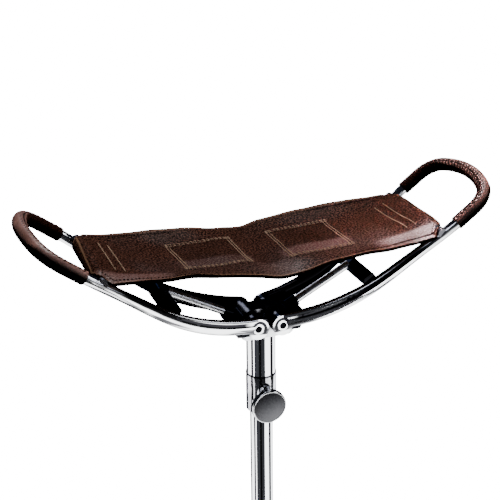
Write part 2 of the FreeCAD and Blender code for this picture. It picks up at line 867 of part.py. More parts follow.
def make_wings():
    """The right wing's pieces, and the left wing as their mirror image."""
    right = {
        "right_wing_frame": wing_frame(),
        "right_strut": strut_rod("right_strut", "strut_radius"),
        "right_seat_bar": seat_bar("right_seat_bar"),
        "right_handle_leather": handle_leather(),
        "right_lug_bushes": lug_bushes(),
    }
    for name, piece in right.items():
        piece.Label = name
        mirror = doc.addObject("Part::Mirroring", name.replace("right", "left"))
        mirror.Source = piece
        mirror.Normal = Vector(1, 0, 0)
        mirror.Label = name.replace("right", "left")


# Leather sling: one sheet that hangs between the seat bars in a shallow hollow, with a valley over
# the hub and flaps that fall a little at its cut corners. Each end is sewn round its bar.
SHEET_STEPS_ALONG = 24
SHEET_STEPS_ACROSS = 12
BLOCK_HEIGHT = 150


def sling_level(across, side_way):
    """Level of the sling's upper face over a point of its plan."""
    x = abs(across)
    valley = size("sling_valley_depth") * math.exp(-x / size("sling_valley_span"))
    end = size("sling_end_across")
    turned_up = max(0.0, x - size("sling_upturn_across")) / (end - size("sling_upturn_across"))
    centre = size("sling_middle_rise") + size("sling_slope") * x - valley
    centre += size("sling_upturn") * turned_up**3
    phase = math.pi * (x - size("sling_hollow_across")) / size("sling_hollow_length")
    lift = size("sling_hollow_depth") * math.sin(phase)
    if side_way > 0:
        lift += size("sling_far_lift") * max(0.0, 1 - x / size("sling_far_lift_across")) ** 2
    wide = abs(side_way) / size("sling_half_width")
    hem = size("sling_hem_half_width")
    outer = max(0.0, abs(side_way) - hem) / (size("sling_half_width") - hem)
    fallen = max(0.0, x - size("sling_flap_across")) / (end - size("sling_flap_across"))
    level = centre + lift * wide**2.2 - size("sling_flap_drop") * fallen**2 * outer
    return size("pivot_height") + level


def sling_plan(inset):
    """Plan outline of a layer as an upright block, its corners cut."""
    end = size("sling_end_across") - inset
    corner = size("sling_corner_across") - inset
    wide = size("sling_half_width") - inset
    points = [
        Vector(x * sx, y * sy, size("pivot_height"))
        for sx, sy, order in ((1, -1, 1), (1, 1, -1), (-1, 1, 1), (-1, -1, -1))
        for x, y in ((corner, wide), (end, size("sling_hem_half_width")))[::order]
    ]
    face = Part.Face(Part.makePolygon(points + points[:1]))
    return face.extrude(Vector(0, 0, BLOCK_HEIGHT))


def sling_layer(drop, thickness, inset):
    """One layer, its upper face a drop below the sling's, cut to its plan."""
    long, wide = size("sling_end_across"), size("sling_half_width")
    points = [
        [
            Vector(x, y, sling_level(x, y) - drop)
            for y in (wide * (2 * j / SHEET_STEPS_ACROSS - 1) for j in range(SHEET_STEPS_ACROSS + 1))
        ]
        for x in (long * (2 * k / SHEET_STEPS_ALONG - 1) for k in range(SHEET_STEPS_ALONG + 1))
    ]
    surface = Part.BSplineSurface()
    surface.interpolate(points)
    slab = surface.toShape().extrude(Vector(0, 0, -thickness))
    return slab.common(sling_plan(inset))


def make_sling():
    leather = sling_layer(0, size("leather_thickness"), 0)
    loops, bores = [], []
    for side in (-1, 1):
        centre = Vector(side * size("seat_bar_across"), -size("sling_hem_half_width"),
                        size("pivot_height") + size("seat_bar_rise"))
        inner = size("seat_bar_radius") + 0.3
        length = 2 * size("sling_hem_half_width")
        along = Vector(0, 1, 0)
        loops.append(Part.makeCylinder(inner + size("leather_thickness"), length, centre, along))
        bores.append(Part.makeCylinder(inner, length + 2, centre - along, along))
    whole = leather.fuse(loops).cut(bores).removeSplitter()
    computed("seat_leather", whole).Label = "seat_leather"
    inset = size("lining_inset")
    lining = sling_layer(size("leather_thickness"), size("lining_thickness"), inset)
    computed("seat_lining", lining).Label = "seat_lining"
    patches = []
    under = size("leather_thickness") + size("lining_thickness")
    half = size("patch_half_side")
    layer = sling_layer(under, size("lining_thickness"), inset)
    for side in (-1, 1):
        corner = Vector(side * size("patch_across") - half, -half, size("pivot_height"))
        patches.append(layer.common(Part.makeBox(2 * half, 2 * half, BLOCK_HEIGHT, corner)))
    computed("lining_patches", Part.makeCompound(patches)).Label = "lining_patches"


make_foot()
make_lower_tube()
make_hub()
make_pins()
make_outer_tube()
make_clamp()
make_wings()
make_sling()
doc.recompute()

NODES = [
    "rubber_ferrule", "ferrule_washer", "foot_plug", "lower_tube", "guide_bush",
    "hub_casting", "hub_cross_pin", "outer_tube", "clamp_collar", "collar_bush",
    "left_hinge_pin", "right_hinge_pin", "hinge_washers", "clamp_pad", "clamp_screw", "knob",
    "left_wing_frame", "left_strut", "left_seat_bar", "left_handle_leather", "left_lug_bushes",
    "right_wing_frame", "right_strut", "right_seat_bar", "right_handle_leather",
    "right_lug_bushes", "seat_leather", "seat_lining", "lining_patches",
]

for thing in doc.Objects:
    if "Invalid" in thing.State or "Error" in thing.State:
        raise RuntimeError(f"{thing.Label} did not build: {thing.getStatusString()}")

os.makedirs("parts", exist_ok=True)
for node in NODES:
    piece = doc.getObjectsByLabel(node)[0]
    if piece.Shape.isNull() or not piece.Shape.isValid():
        raise RuntimeError(f"{node} has no valid shape")
    piece.Shape.exportStep(f"parts/{node}.step")
    print(node, len(piece.Shape.Solids), round(piece.Shape.Volume / 1000, 2), "cm3")
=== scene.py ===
import math

import bpy
import numpy as np
from mathutils import Matrix, Vector


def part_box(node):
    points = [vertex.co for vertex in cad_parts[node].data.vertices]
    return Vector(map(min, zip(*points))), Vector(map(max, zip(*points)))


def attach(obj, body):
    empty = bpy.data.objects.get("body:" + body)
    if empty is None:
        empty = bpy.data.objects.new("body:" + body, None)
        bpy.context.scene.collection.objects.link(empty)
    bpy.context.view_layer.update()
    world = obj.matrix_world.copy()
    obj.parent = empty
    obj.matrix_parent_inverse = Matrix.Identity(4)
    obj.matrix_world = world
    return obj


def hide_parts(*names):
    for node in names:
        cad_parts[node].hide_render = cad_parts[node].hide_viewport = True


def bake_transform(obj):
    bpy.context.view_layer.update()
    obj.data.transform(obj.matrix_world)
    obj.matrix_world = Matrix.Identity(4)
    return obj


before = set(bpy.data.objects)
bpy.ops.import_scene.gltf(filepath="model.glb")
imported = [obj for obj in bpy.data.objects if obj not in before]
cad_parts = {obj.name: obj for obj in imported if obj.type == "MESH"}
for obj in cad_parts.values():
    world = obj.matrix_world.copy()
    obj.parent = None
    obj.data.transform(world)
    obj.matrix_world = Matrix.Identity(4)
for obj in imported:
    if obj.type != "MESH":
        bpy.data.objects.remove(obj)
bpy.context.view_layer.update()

# Camera: level with a person who stands in front of the seat, a little to its left, and looks down.
# Heights on the seat are counted from its hinge pins, whose place comes from the frame.
MM = 0.001
PIN_LOW, PIN_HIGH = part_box("right_hinge_pin")
PIN_ACROSS, PIN_LEVEL = (PIN_LOW.x + PIN_HIGH.x) / 2, (PIN_LOW.z + PIN_HIGH.z) / 2
AZIMUTH, ELEVATION, ROLL = (math.radians(angle) for angle in (-19.65, 21.95, -0.73))
CAMERA_DISTANCE = 902.8 * MM
AIM = Vector((-8.6 * MM, 0, PIN_LEVEL + 60.7 * MM))
SENSOR_WIDTH = 36
FOCAL_SHARE = 1103.6 / 500  # focal length over picture width

away = Vector((math.sin(AZIMUTH) * math.cos(ELEVATION), -math.cos(AZIMUTH) * math.cos(ELEVATION),
               math.sin(ELEVATION)))
level_right = Vector((math.cos(AZIMUTH), math.sin(AZIMUTH), 0))
level_up = away.cross(level_right)
right = level_right * math.cos(ROLL) + level_up * math.sin(ROLL)
camera = bpy.data.objects.new("camera", bpy.data.cameras.new("camera"))
camera.data.sensor_width = SENSOR_WIDTH
camera.data.lens = SENSOR_WIDTH * FOCAL_SHARE
camera.matrix_world = (Matrix.Translation(AIM + away * CAMERA_DISTANCE)
                       @ Matrix((right, away.cross(right), away)).transposed().to_4x4())
bpy.context.scene.collection.objects.link(camera)
bpy.context.scene.camera = camera


# Studio: a dark room with a few soft boxes, inside a closed white sweep that only the camera sees.
# Only reflections show the rest: a lit sector of floor in front, the dark and the bright cards that
# draw the bands on polished tubes and castings, and a dark tray between the rails of each wing.
class Value:
    """One socket of a node tree. Python's operators on it add Math nodes, so that a finish is
    written as sums and products of values that vary over a surface."""

    def __init__(self, finish, socket):
        self.finish, self.socket = finish, socket

    def math(self, operation, *inputs):
        """A Math node on numbers and values."""
        return self.finish.node("ShaderNodeMath", {"operation": operation}, dict(enumerate(inputs)))

    def __add__(self, other):
        return self.math("ADD", self, other)

    def __sub__(self, other):
        return self.math("SUBTRACT", self, other)

    def __rsub__(self, other):
        return self.math("SUBTRACT", other, self)

    def __mul__(self, other):
        return self.math("MULTIPLY", self, other)

    def __pow__(self, other):
        return self.math("POWER", self, other)

    __radd__, __rmul__ = __add__, __mul__

    def below(self, other):
        return self.math("MINIMUM", self, other)

    def above(self, other):
        return self.math("MAXIMUM", self, other)

    def size(self):
        return self.math("ABSOLUTE", self)

    def sine(self):
        return self.math("SINE", self)

    def cosine(self):
        return self.math("COSINE", self)

    def step(self, low, high):
        """0 up to low, 1 from high on, and an even curve between them; low may be the larger."""
        low, high, out = (low, high, (0, 1)) if low < high else (high, low, (1, 0))
        return self.finish.node("ShaderNodeMapRange", {"interpolation_type": "SMOOTHSTEP"},
                                {0: self, 1: low, 2: high, 3: out[0], 4: out[1]})


class Finish:
    """A material or world whose nodes are made by name, with their settings and inputs."""

    def __init__(self, name, world=False, **plain):
        self.owner = bpy.data.worlds.new(name) if world else bpy.data.materials.new(name)
        self.owner.use_nodes = True
        self.tree = self.owner.node_tree
        self.shader = self.tree.nodes["Background" if world else "Principled BSDF"]
        for word, amount in plain.items():
            socket = word.replace("_", " ").title().replace("Ior", "IOR")
            self.shader.inputs[socket].default_value = amount

    def node(self, kind, settings=None, inputs=None, output=0):
        """Any node: its settings are set first, then the values or links of its sockets."""
        made = self.tree.nodes.new(kind)
        for name, setting in (settings or {}).items():
            setattr(made, name, setting)
        for key, given in (inputs or {}).items():
            if isinstance(given, Value):
                self.tree.links.new(given.socket, made.inputs[key])
            else:
                made.inputs[key].default_value = given
        return Value(self, made.outputs[output])

    def place(self, kind="Object"):
        """Place on the object, or on the piece's own flat map."""
        return self.node("ShaderNodeTexCoord", output=kind)

    def parts(self, vector):
        """The three values of a vector."""
        split = self.node("ShaderNodeSeparateXYZ", inputs={0: vector})
        return [Value(self, socket) for socket in split.socket.node.outputs]

    def joined(self, x, y, z):
        return self.node("ShaderNodeCombineXYZ", inputs={0: x, 1: y, 2: z})

    def attribute(self, name):
        """A value that the mesh holds for each of its points."""
        return self.node("ShaderNodeAttribute", {"attribute_name": name}, output="Fac")

    def noise(self, scale, detail=2.0, vector=None):
        inputs = {"Vector": vector or self.place(), "Scale": scale, "Detail": detail}
        return self.node("ShaderNodeTexNoise", inputs=inputs)

    def cells(self, scale, vector):
        """Distance to the nearest border between rounded cells."""
        inputs = {"Vector": vector, "Scale": scale}
        return self.node("ShaderNodeTexVoronoi", {"feature": "DISTANCE_TO_EDGE"}, inputs)

    def mix(self, share, first, second):
        """A colour between two colours."""
        return self.node("ShaderNodeMix", {"data_type": "RGBA"}, {0: share, 6: first, 7: second}, 2)

    def bump(self, height, depth):
        """A normal that follows a height, given in units of a depth."""
        return self.node("ShaderNodeBump", inputs={"Height": height, "Distance": depth})

    def stretched(self, vector, by):
        """A vector multiplied along each axis."""
        return self.node("ShaderNodeVectorMath", {"operation": "MULTIPLY"}, {0: vector, 1: by})

    def set(self, **links):
        """Link values to the shader's sockets, and give back the material."""
        for word, value in links.items():
            self.tree.links.new(value.socket, self.shader.inputs[word.replace("_", " ").title()])
        return self.owner


def grid_mesh(name, points, closed_along=False, closed_across=False, uv=None, extra=None, flip=False):
    """Mesh over a grid of points, rows along and columns across, with quads between neighbours and
    any extra quads. A flip turns its faces round; edges of more than 50 degrees stay sharp."""
    rows, columns = points.shape[:2]
    mesh = bpy.data.meshes.new(name)
    index = np.arange(rows * columns).reshape(rows, columns)
    below = np.roll(index, -1, 0) if closed_along else index[1:]
    top = index if closed_along else index[:-1]
    if closed_across:
        quads = np.stack([top, np.roll(top, -1, 1), np.roll(below, -1, 1), below], -1)
    else:
        quads = np.stack([top[:, :-1], top[:, 1:], below[:, 1:], below[:, :-1]], -1)
    quads = quads.reshape(-1, 4)
    if extra is not None:
        quads = np.concatenate([quads, extra])
    if flip:
        quads = quads[:, ::-1]
    mesh.from_pydata(points.reshape(-1, 3), [], quads.tolist())
    if uv is not None:
        layer = mesh.uv_layers.new(name="flat")
        layer.data.foreach_set("uv", uv.reshape(-1, 2)[quads.ravel()].astype(np.float32).ravel())
    mesh.shade_smooth()
    mesh.set_sharp_from_angle(angle=math.radians(50))
    return mesh


def add_piece(name, mesh, material):
    """A new object at the origin, with its mesh and one material."""
    piece = bpy.data.objects.new(name, mesh)
    bpy.context.scene.collection.objects.link(piece)
    mesh.materials.append(material)
    return piece


# distance from the middle and level of the sweep's profile in metres, from the floor to the top
SWEEP = ((0.001, 0), (9, 0), (11.5, 0.3), (13, 1.8), (13.5, 5), (12, 9), (7, 12.5), (0.001, 13.5))
SWEEP_TURNS = 48
WHITE_GLOW = 17.0
floor_finish = Finish("pale_floor", base_color=(0.85, 0.85, 0.85, 1), roughness=0.9,
                      emission_color=(1, 1, 1, 1), emission_strength=WHITE_GLOW)
turns = np.linspace(0, 2 * math.pi, SWEEP_TURNS, endpoint=False)
sweep = np.array([[(out * math.sin(turn), out * math.cos(turn), level) for turn in turns]
                  for out, level in SWEEP])
floor = add_piece("floor", grid_mesh("floor", sweep, closed_across=True), floor_finish.owner)
floor.visible_diffuse = floor.visible_glossy = floor.visible_shadow = False


def only_reflected(name, points, material):
    """A sheet of the studio that nothing but reflections shows."""
    sheet = add_piece(name, grid_mesh(name, points), material)
    sheet.visible_camera = sheet.visible_shadow = sheet.visible_diffuse = False


def turned_out(turns, radius, level):
    """Points at directions in degrees round from the front, at a radius and a level."""
    turns = np.radians(turns)
    return np.stack([radius * np.sin(turns), -radius * np.cos(turns), level + 0 * turns], -1)


LIT_TURNS = np.linspace(-140, 128, 68)
LIT_RADII = (0.02, 0.3, 0.7, 1.2, 1.9, 2.6, 5, 9)
LIT_LEVEL = 1 * MM
LIT_GLOW = 5.0
NEAR_GLOW, FAR_GLOW = 0.5, 0.12  # shares of the glow beside the foot and beyond the lit ring
lit_finish = Finish("lit_floor", base_color=(0, 0, 0, 1), specular_ior_level=0.0,
                    emission_strength=LIT_GLOW)
across, forward, _ = lit_finish.parts(lit_finish.place())
reach = (across ** 2.0 + forward ** 2.0) ** 0.5
glow = (NEAR_GLOW + (1 - NEAR_GLOW) * reach.step(0.15, 0.7)) * (
    FAR_GLOW + (1 - FAR_GLOW) * reach.step(2.5, 1.9))
lit_finish.set(emission_color=lit_finish.mix(glow, (0, 0, 0, 1), (1, 1, 1, 1)))
lit_rings = np.stack([turned_out(LIT_TURNS, radius, LIT_LEVEL) for radius in LIT_RADII])
only_reflected("lit_floor", lit_rings, lit_finish.owner)

room = Finish("studio", world=True, color=(0.008, 0.009, 0.013, 1), strength=1.0)
bpy.context.scene.world = room.owner


def soft_box(name, place, width, depth, power, aim=(0, 0, 0), spread=180, color=(1, 1, 1), sheen=True):
    """A rectangular lamp that faces a point near the seat. A grid on it can narrow its spread, and
    without sheen it doesn't show in reflections."""
    lamp = bpy.data.lights.new(name, "AREA")
    lamp.shape, lamp.size, lamp.size_y, lamp.energy = "RECTANGLE", width, depth, power
    holder = bpy.data.objects.new(name, lamp)
    bpy.context.scene.collection.objects.link(holder)
    lamp.spread, lamp.color = math.radians(spread), color
    holder.visible_glossy = sheen
    seat = Vector((0, 0, PIN_LEVEL + 60 * MM)) + Vector(aim)
    holder.location = place
    holder.rotation_euler = (seat - Vector(place)).to_track_quat("-Z", "Y").to_euler()


soft_box("top_light", (0.42, 0.62, 2.3), 0.8, 0.7, 50)
soft_box("side_light", (1.9, -0.5, 1.9), 0.8, 0.8, 10)
soft_box("back_light", (-0.5, 1.9, 1.3), 1.0, 0.8, 10, sheen=False)
soft_box("under_light", (0.1, 0.9, 0.12), 0.8, 0.6, 5, sheen=False)
soft_box("flap_light", (0.15, 0.36, 1.43), 0.12, 0.12, 0.22, (0.121, -0.052, 0.010), 9, (1, 0.66, 0.68))

# first and last direction of each card round from the front, its lowest and highest level in
# metres, and its glow: dark cards stand behind the bright ones
DARK_CARDS = ((-72, -36, 0.02, 0.9, 0.065), (-36, -17, 0.02, 0.9, 0.005), (-17, 13, 0.02, 0.9, 0.050),
              (-103, -82, 0.02, 0.9, 0.015), (58, 88, 0.02, 0.9, 0.02))
BRIGHT_CARDS = ((33, 52, 0.80, 0.94, 2.5), (-186, -168, 0.96, 1.12, 4.0), (-64, -22, 1.24, 1.62, 2.4))
DARK_RADIUS, BRIGHT_RADIUS = 0.62, 0.60
CARD_TINT = (0.85, 0.88, 1.0, 1)


def card_finish(name, glow):
    """A dull material that only glows, faintly blue."""
    return Finish(name, base_color=(0, 0, 0, 1), specular_ior_level=0.0, roughness=1.0,
                  emission_color=CARD_TINT, emission_strength=glow).owner


for number, (first, last, low, high, glow) in enumerate(DARK_CARDS + BRIGHT_CARDS):
    radius = DARK_RADIUS if number < len(DARK_CARDS) else BRIGHT_RADIUS
    turns = np.linspace(first, last, 24)
    wall = np.stack([turned_out(turns, radius, level) for level in (low, high)])
    only_reflected(f"card_{number}", wall, card_finish(f"card_{number}", glow))

TRAY_LEVEL = PIN_LEVEL - 15 * MM
TRAY_INNER, TRAY_OUTER = (0.020, 0.021), (0.155, 0.045)  # across and forward to its corners
tray_finish = card_finish("dark_tray", 0.004)
for word, side in (("left", -1), ("right", 1)):
    corners = np.array([[(side * x, way * y, TRAY_LEVEL) for way in (-1, 1)]
                        for x, y in (TRAY_INNER, TRAY_OUTER)])
    only_reflected(word + "_tray", corners, tray_finish)


# Foot and lower tube: a moulded black rubber ferrule over a bright aluminium tube, with a steel
# washer and a nylon plug inside it. The foot is scuffed grey where it meets the ground.
def dress(material, *nodes):
    """Give a material to pieces of the frame."""
    for node in nodes:
        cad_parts[node].data.materials.clear()
        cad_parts[node].data.materials.append(material)


def metal(name, color, roughness, scuffs, grain=(1, 1, 1), edge=(0.62, 0.64, 0.7)):
    """Polished metal: scuffed patches and fine scratches drawn out along the grain."""
    finish = Finish(name, base_color=(*color, 1), metallic=1.0, specular_tint=(*edge, 1))
    drawn = finish.stretched(finish.place(), grain)
    patches = finish.noise(70.0, 3.0, drawn).step(0.45, 0.75)
    scratches = finish.noise(1400.0, 2.0, drawn)
    return finish.set(roughness=roughness + scuffs * patches + 0.4 * scuffs * scratches)


SCUFF_RISE = 16 * MM
rubber = Finish("black_rubber", specular_ior_level=0.4)
rise = rubber.parts(rubber.place())[2]
scuffed = rise.step(SCUFF_RISE, 0.0) * rubber.noise(160.0, 4.0).step(0.35, 0.7)
rubber.set(base_color=rubber.mix(scuffed, (0.017, 0.017, 0.018, 1), (0.075, 0.072, 0.068, 1)),
           roughness=0.62 + 0.25 * rubber.noise(420.0, 3.0),
           normal=rubber.bump(rubber.noise(1500.0, 3.0), 0.12 * MM))
dress(rubber.owner, "rubber_ferrule")

TUBE_GRAIN = (1, 1, 0.06)  # scratches are drawn out along the tube
bright_tube = metal("bright_tube", (0.86, 0.87, 0.89), 0.02, 0.025, TUBE_GRAIN)
dress(bright_tube, "lower_tube", "outer_tube")

plain_steel = metal("plain_steel", (0.56, 0.57, 0.59), 0.28, 0.15)
dress(plain_steel, "ferrule_washer", "hub_cross_pin", "clamp_screw")

nylon = Finish("black_nylon", base_color=(0.022, 0.022, 0.024, 1))
nylon.set(roughness=0.45 + 0.2 * nylon.noise(500.0, 3.0),
          normal=nylon.bump(nylon.noise(2200.0, 2.0), 0.04 * MM))
dress(nylon.owner, "guide_bush", "foot_plug", "collar_bush", "hinge_washers")

# Clamp: a bright collar on the outer tube carries a screw with a brass pad. Its knob is a turned
# disc, dark satin on its slightly domed face and polished on its rim; the face is painted lighter
# towards its bottom as a painted reflection.
COLLAR_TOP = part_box("clamp_collar")[1].z
collar = Finish("collar_metal", metallic=1.0, specular_tint=(0.62, 0.64, 0.7, 1))
blotches = collar.noise(90.0, 3.0).step(0.35, 0.7)
tint = collar.mix(blotches, (0.30, 0.30, 0.32, 1), (0.68, 0.69, 0.72, 1))
lip = collar.parts(collar.place())[2].step(COLLAR_TOP - 1.5 * MM, COLLAR_TOP - 0.9 * MM)
collar.set(base_color=collar.mix(lip, tint, (0.02, 0.02, 0.022, 1)),
           roughness=0.07 + 0.12 * blotches, normal=collar.bump(collar.noise(55.0, 1.0), 1.4 * MM))
dress(collar.owner, "clamp_collar")

brass = metal("brass", (0.80, 0.58, 0.26), 0.2, 0.2)
dress(brass, "clamp_pad")

KNOB_LOW, KNOB_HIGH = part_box("knob")
KNOB_LEVEL = (KNOB_LOW.z + KNOB_HIGH.z) / 2
KNOB_RADIUS = (KNOB_HIGH.z - KNOB_LOW.z) / 2
KNOB_DOME = 5.5  # per metre: the face falls away by this times the radius squared
TURNING_WAVES = 9000.0  # radians per metre of the fine rings that turning leaves
TURNING_DEPTH = 0.004 * MM
knob = Finish("turned_knob", metallic=1.0, specular_tint=(0.6, 0.62, 0.68, 1))
across, forward, rise = knob.parts(knob.place())
out = (across ** 2.0 + (rise - KNOB_LEVEL) ** 2.0) ** 0.5
on_face = out.step(KNOB_RADIUS - 1.0 * MM, KNOB_RADIUS - 1.6 * MM) * forward.step(
    KNOB_LOW.y + 0.9 * MM, KNOB_LOW.y + 0.4 * MM)
turning = (out * TURNING_WAVES).sine()
speckle = 0.5 * knob.noise(900.0, 2.0)
# painted reflection: the knob's face is painted lighter towards its bottom, with speckle
painted_reflection_share = (rise - KNOB_LEVEL).step(KNOB_RADIUS, -0.9 * KNOB_RADIUS) + speckle - 0.25
face = knob.mix(painted_reflection_share, (0.011, 0.011, 0.013, 1), (0.075, 0.075, 0.080, 1))
knob.set(base_color=knob.mix(on_face, (0.86, 0.87, 0.89, 1), face),
         roughness=0.06 + on_face * (0.30 + 0.1 * knob.noise(300.0, 3.0)),
         normal=knob.bump(on_face * (out * out * -KNOB_DOME + turning * TURNING_DEPTH), 1.0))
dress(knob.owner, "knob")

# Hub: a casting that is pinned into the outer tube, polished on its lower half and painted near black
# above it as a painted dark reflection. Two hinge pins run through it, their blackened ends level
# with the lugs, and nylon washers keep the wings off it.
casting = Finish("hub_casting", metallic=1.0, specular_tint=(0.5, 0.52, 0.58, 1))
rise = casting.parts(casting.place())[2]
scuffs = casting.noise(90.0, 3.0).step(0.4, 0.75)
# painted dark reflection: the casting's upper part is painted near black
painted_dark_top = rise.step(PIN_LEVEL - 9 * MM, PIN_LEVEL - 3 * MM)
tint = casting.mix(painted_dark_top, (0.60, 0.61, 0.63, 1), (0.04, 0.04, 0.047, 1))
casting.set(base_color=casting.mix(scuffs * 0.4, tint, (0.30, 0.30, 0.32, 1)),
            roughness=0.12 + 0.15 * scuffs, normal=casting.bump(casting.noise(60.0, 2.0), 0.9 * MM))
dress(casting.owner, "hub_casting")

black_steel = metal("blackened_steel", (0.003, 0.003, 0.004), 0.42, 0.15, edge=(0.02, 0.02, 0.02))
dress(black_steel, "left_hinge_pin", "right_hinge_pin")

# Wings: one polished casting on each side holds both rails, the web beside the hub, the crossbar and
# the handle's core. A bush is pressed into each lug, and a strut and a seat bar are set into it. The
# outer faces are buffed along the rail and carry painted reflection streaks low down; the cove, the
# lugs' rims, the tops and the inner faces are painted near black as painted dark reflections.
SPREAD = math.radians(10.33)  # by which each rail turns outwards
RAIL_ROOT = 21.7 * MM  # from the middle plane to a rail's centreline at the pins
ARC_RADIUS, ARC_START, ARC_RISE = 173 * MM, 9.5 * MM, 4.0 * MM
ARC_FIRST, ARC_LAST = math.radians(7.5), math.radians(36.2)
ARC_END = ARC_START + ARC_RADIUS * (math.sin(ARC_LAST) - math.sin(ARC_FIRST))


def beside_rail(finish):
    """Run along a rail from its pin; distances outwards from its centreline and above it, where the
    centreline is an arc and then its tangent; distance from the pin; and how far up and in."""
    across, forward, rise = finish.parts(finish.place())
    across, forward = across.size() - PIN_ACROSS, forward.size() - RAIL_ROOT
    run = across * math.cos(SPREAD) + forward * math.sin(SPREAD)
    out = forward * math.cos(SPREAD) - across * math.sin(SPREAD)
    climb = ((run - ARC_START) * (1 / ARC_RADIUS) + math.sin(ARC_FIRST)).below(math.sin(ARC_LAST))
    level = (1 - climb * climb) ** 0.5
    middle = (ARC_RISE + ARC_RADIUS * (math.cos(ARC_FIRST) - level)
              + (run - ARC_END).above(0.0) * math.tan(ARC_LAST))
    from_pin = (across ** 2.0 + (rise - PIN_LEVEL) ** 2.0) ** 0.5
    return run, out, (rise - PIN_LEVEL - middle) * level, from_pin, rise - PIN_LEVEL - across


wing = Finish("wing_casting", metallic=1.0, specular_tint=(0.5, 0.52, 0.58, 1))
run, out, above, from_pin, inward = beside_rail(wing)
buffed = wing.joined(run * 24.0, out * 120.0, above * 300.0)
# painted reflection streaks: dark streaks drawn along the rail on its lower outer faces
painted_streaks = wing.noise(1.0, 2.0, buffed).step(0.50, 0.64) * above.step(1.0 * MM, -1.0 * MM)
outside = out.step(0.6 * MM, 2.2 * MM)
# painted dark reflection: a band along each rail's cove and a ring round each lug's rim are painted
# near black near the hub
painted_dark_cove = (above - 2.2 * MM).size().step(2.6 * MM, 1.5 * MM) * outside * run.step(6 * MM, 14 * MM)
painted_dark_rim = from_pin.step(4.6 * MM, 5.0 * MM) * from_pin.step(7.7 * MM, 7.2 * MM)
painted_dark_rim = painted_dark_rim * inward.step(-2 * MM, 2 * MM)
# painted dark reflection: the rails' tops and inner faces, short of the handles, are painted near black
inside = out.step(2.4 * MM, 1.6 * MM) * run.step(134 * MM, 120 * MM)
tint = wing.mix(painted_streaks, (0.88, 0.89, 0.905, 1), (0.06, 0.06, 0.065, 1))
tint = wing.mix(inside, tint, (0.004, 0.004, 0.005, 1))
tint = wing.mix(painted_dark_cove.above(painted_dark_rim) * run.step(140 * MM, 112 * MM), tint, (0.012, 0.012, 0.014, 1))
wing.set(base_color=tint, roughness=0.05 + 0.10 * painted_streaks + 0.03 * wing.noise(6.0, 2.0, buffed),
         normal=wing.bump(wing.noise(0.5, 1.0, buffed), 0.7 * MM))
dress(wing.owner, "left_wing_frame", "right_wing_frame")

rod_metal = metal("satin_rod", (0.87, 0.88, 0.9), 0.24, 0.08)
dress(rod_metal, "left_strut", "right_strut")
bar_metal = metal("sawn_rod", (0.10, 0.10, 0.11), 0.25, 0.1)
dress(bar_metal, "left_seat_bar", "right_seat_bar")
bush_metal = metal("bush_metal", (0.92, 0.93, 0.94), 0.12, 0.1)
dress(bush_metal, "left_lug_bushes", "right_lug_bushes")


# Sling: two panels of thick dark brown cowhide that meet over the hub. Each is hemmed round its seat
# bar, turned back beneath and sewn down, and its corners are cut back so that the flaps lie on the
# rails. Its cut edges are creased with a tan line.
THICKNESS = 2.4  # the sling's and the sleeves' sizes are in mm
SLING_HALF = 54.0
HEM_HALF = 33.6
BAR_LOW, BAR_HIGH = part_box("right_seat_bar")
BAR_ACROSS = (BAR_LOW.x + BAR_HIGH.x) / 2 / MM
BAR_RISE = ((BAR_LOW.z + BAR_HIGH.z) / 2 - PIN_LEVEL) / MM
BAR_RADIUS = (BAR_HIGH.x - BAR_LOW.x) / 2 / MM
BAR_GAP = 0.3
HEM_RADIUS = BAR_RADIUS + BAR_GAP + THICKNESS
SLEEVE_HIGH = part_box("right_handle_leather")[1]
SLEEVE_RADIUS = 6.0
TIP_ACROSS = SLEEVE_HIGH.x / MM - SLEEVE_RADIUS
TIP_RISE = (SLEEVE_HIGH.z - PIN_LEVEL) / MM - SLEEVE_RADIUS
RAIL_RADIUS = 4.5
BAR_SHORT = 0.6  # by which a bar's ends stay inside the rails' outer sides
RAIL_OFFSET = BAR_HIGH.y / MM + BAR_SHORT - RAIL_RADIUS
RAIL_SLOPE = math.radians(36.65)

# rise in mm of the leather over the hinge pins, at stations along the seat (columns) and across it
# (rows, from the front edge to the back edge): the front flap folds down along a crease
ALONG = (0, 18, 44, 70, 100, 120, 139)
ACROSS = (-54, -32, -27, 0, 31, 54)
LEFT_RISE = (
    (57.7, 61.4, 65.6, 70.0, 71.0, 72.2, 72.6),
    (58.4, 62.8, 63.7, 64.9, 67.9, 70.7, 77.2),
    (58.5, 62.9, 63.6, 64.6, 67.6, 70.2, 77.7),
    (58.3, 61.6, 62.4, 63.0, 66.6, 69.8, 77.7),
    (59.0, 61.6, 61.6, 61.6, 65.6, 69.0, 77.7),
    (61.4, 62.6, 66.4, 69.0, 69.6, 71.0, 74.0),
)
RIGHT_RISE = (
    (57.7, 59.4, 64.8, 66.8, 66.4, 66.6, 70.6),
    (58.4, 61.8, 63.7, 65.3, 69.0, 71.9, 76.9),
    (58.5, 62.1, 63.6, 65.1, 69.2, 72.4, 77.7),
    (58.3, 61.6, 62.8, 64.4, 67.4, 70.2, 77.7),
    (59.0, 61.8, 63.0, 64.6, 67.0, 69.2, 77.7),
    (61.4, 65.2, 68.5, 71.2, 72.2, 72.3, 73.0),
)
# how far in mm the front edge is drawn in by the fall of its flap
LEFT_TUCK = (0, 0, 0, 0, 0, 0, 0)
RIGHT_TUCK = (0, 0, 0, 0, 3.6, 6.0, 3.0)
HEM_START = ALONG[-1]
HEM_FIRST, HEM_LAST = math.radians(-22), math.radians(196)
HEM_END = HEM_START + HEM_RADIUS * (HEM_LAST - HEM_FIRST)
RETURN_LENGTH = 26.0  # of the hem, from the bar back under the seat
CUT_START = 135.0
CUT_END = HEM_START + HEM_RADIUS * (math.radians(58) - HEM_FIRST)
RAIL_ANGLE = math.radians(60)  # round the bar, past which the leather is clear of the rails


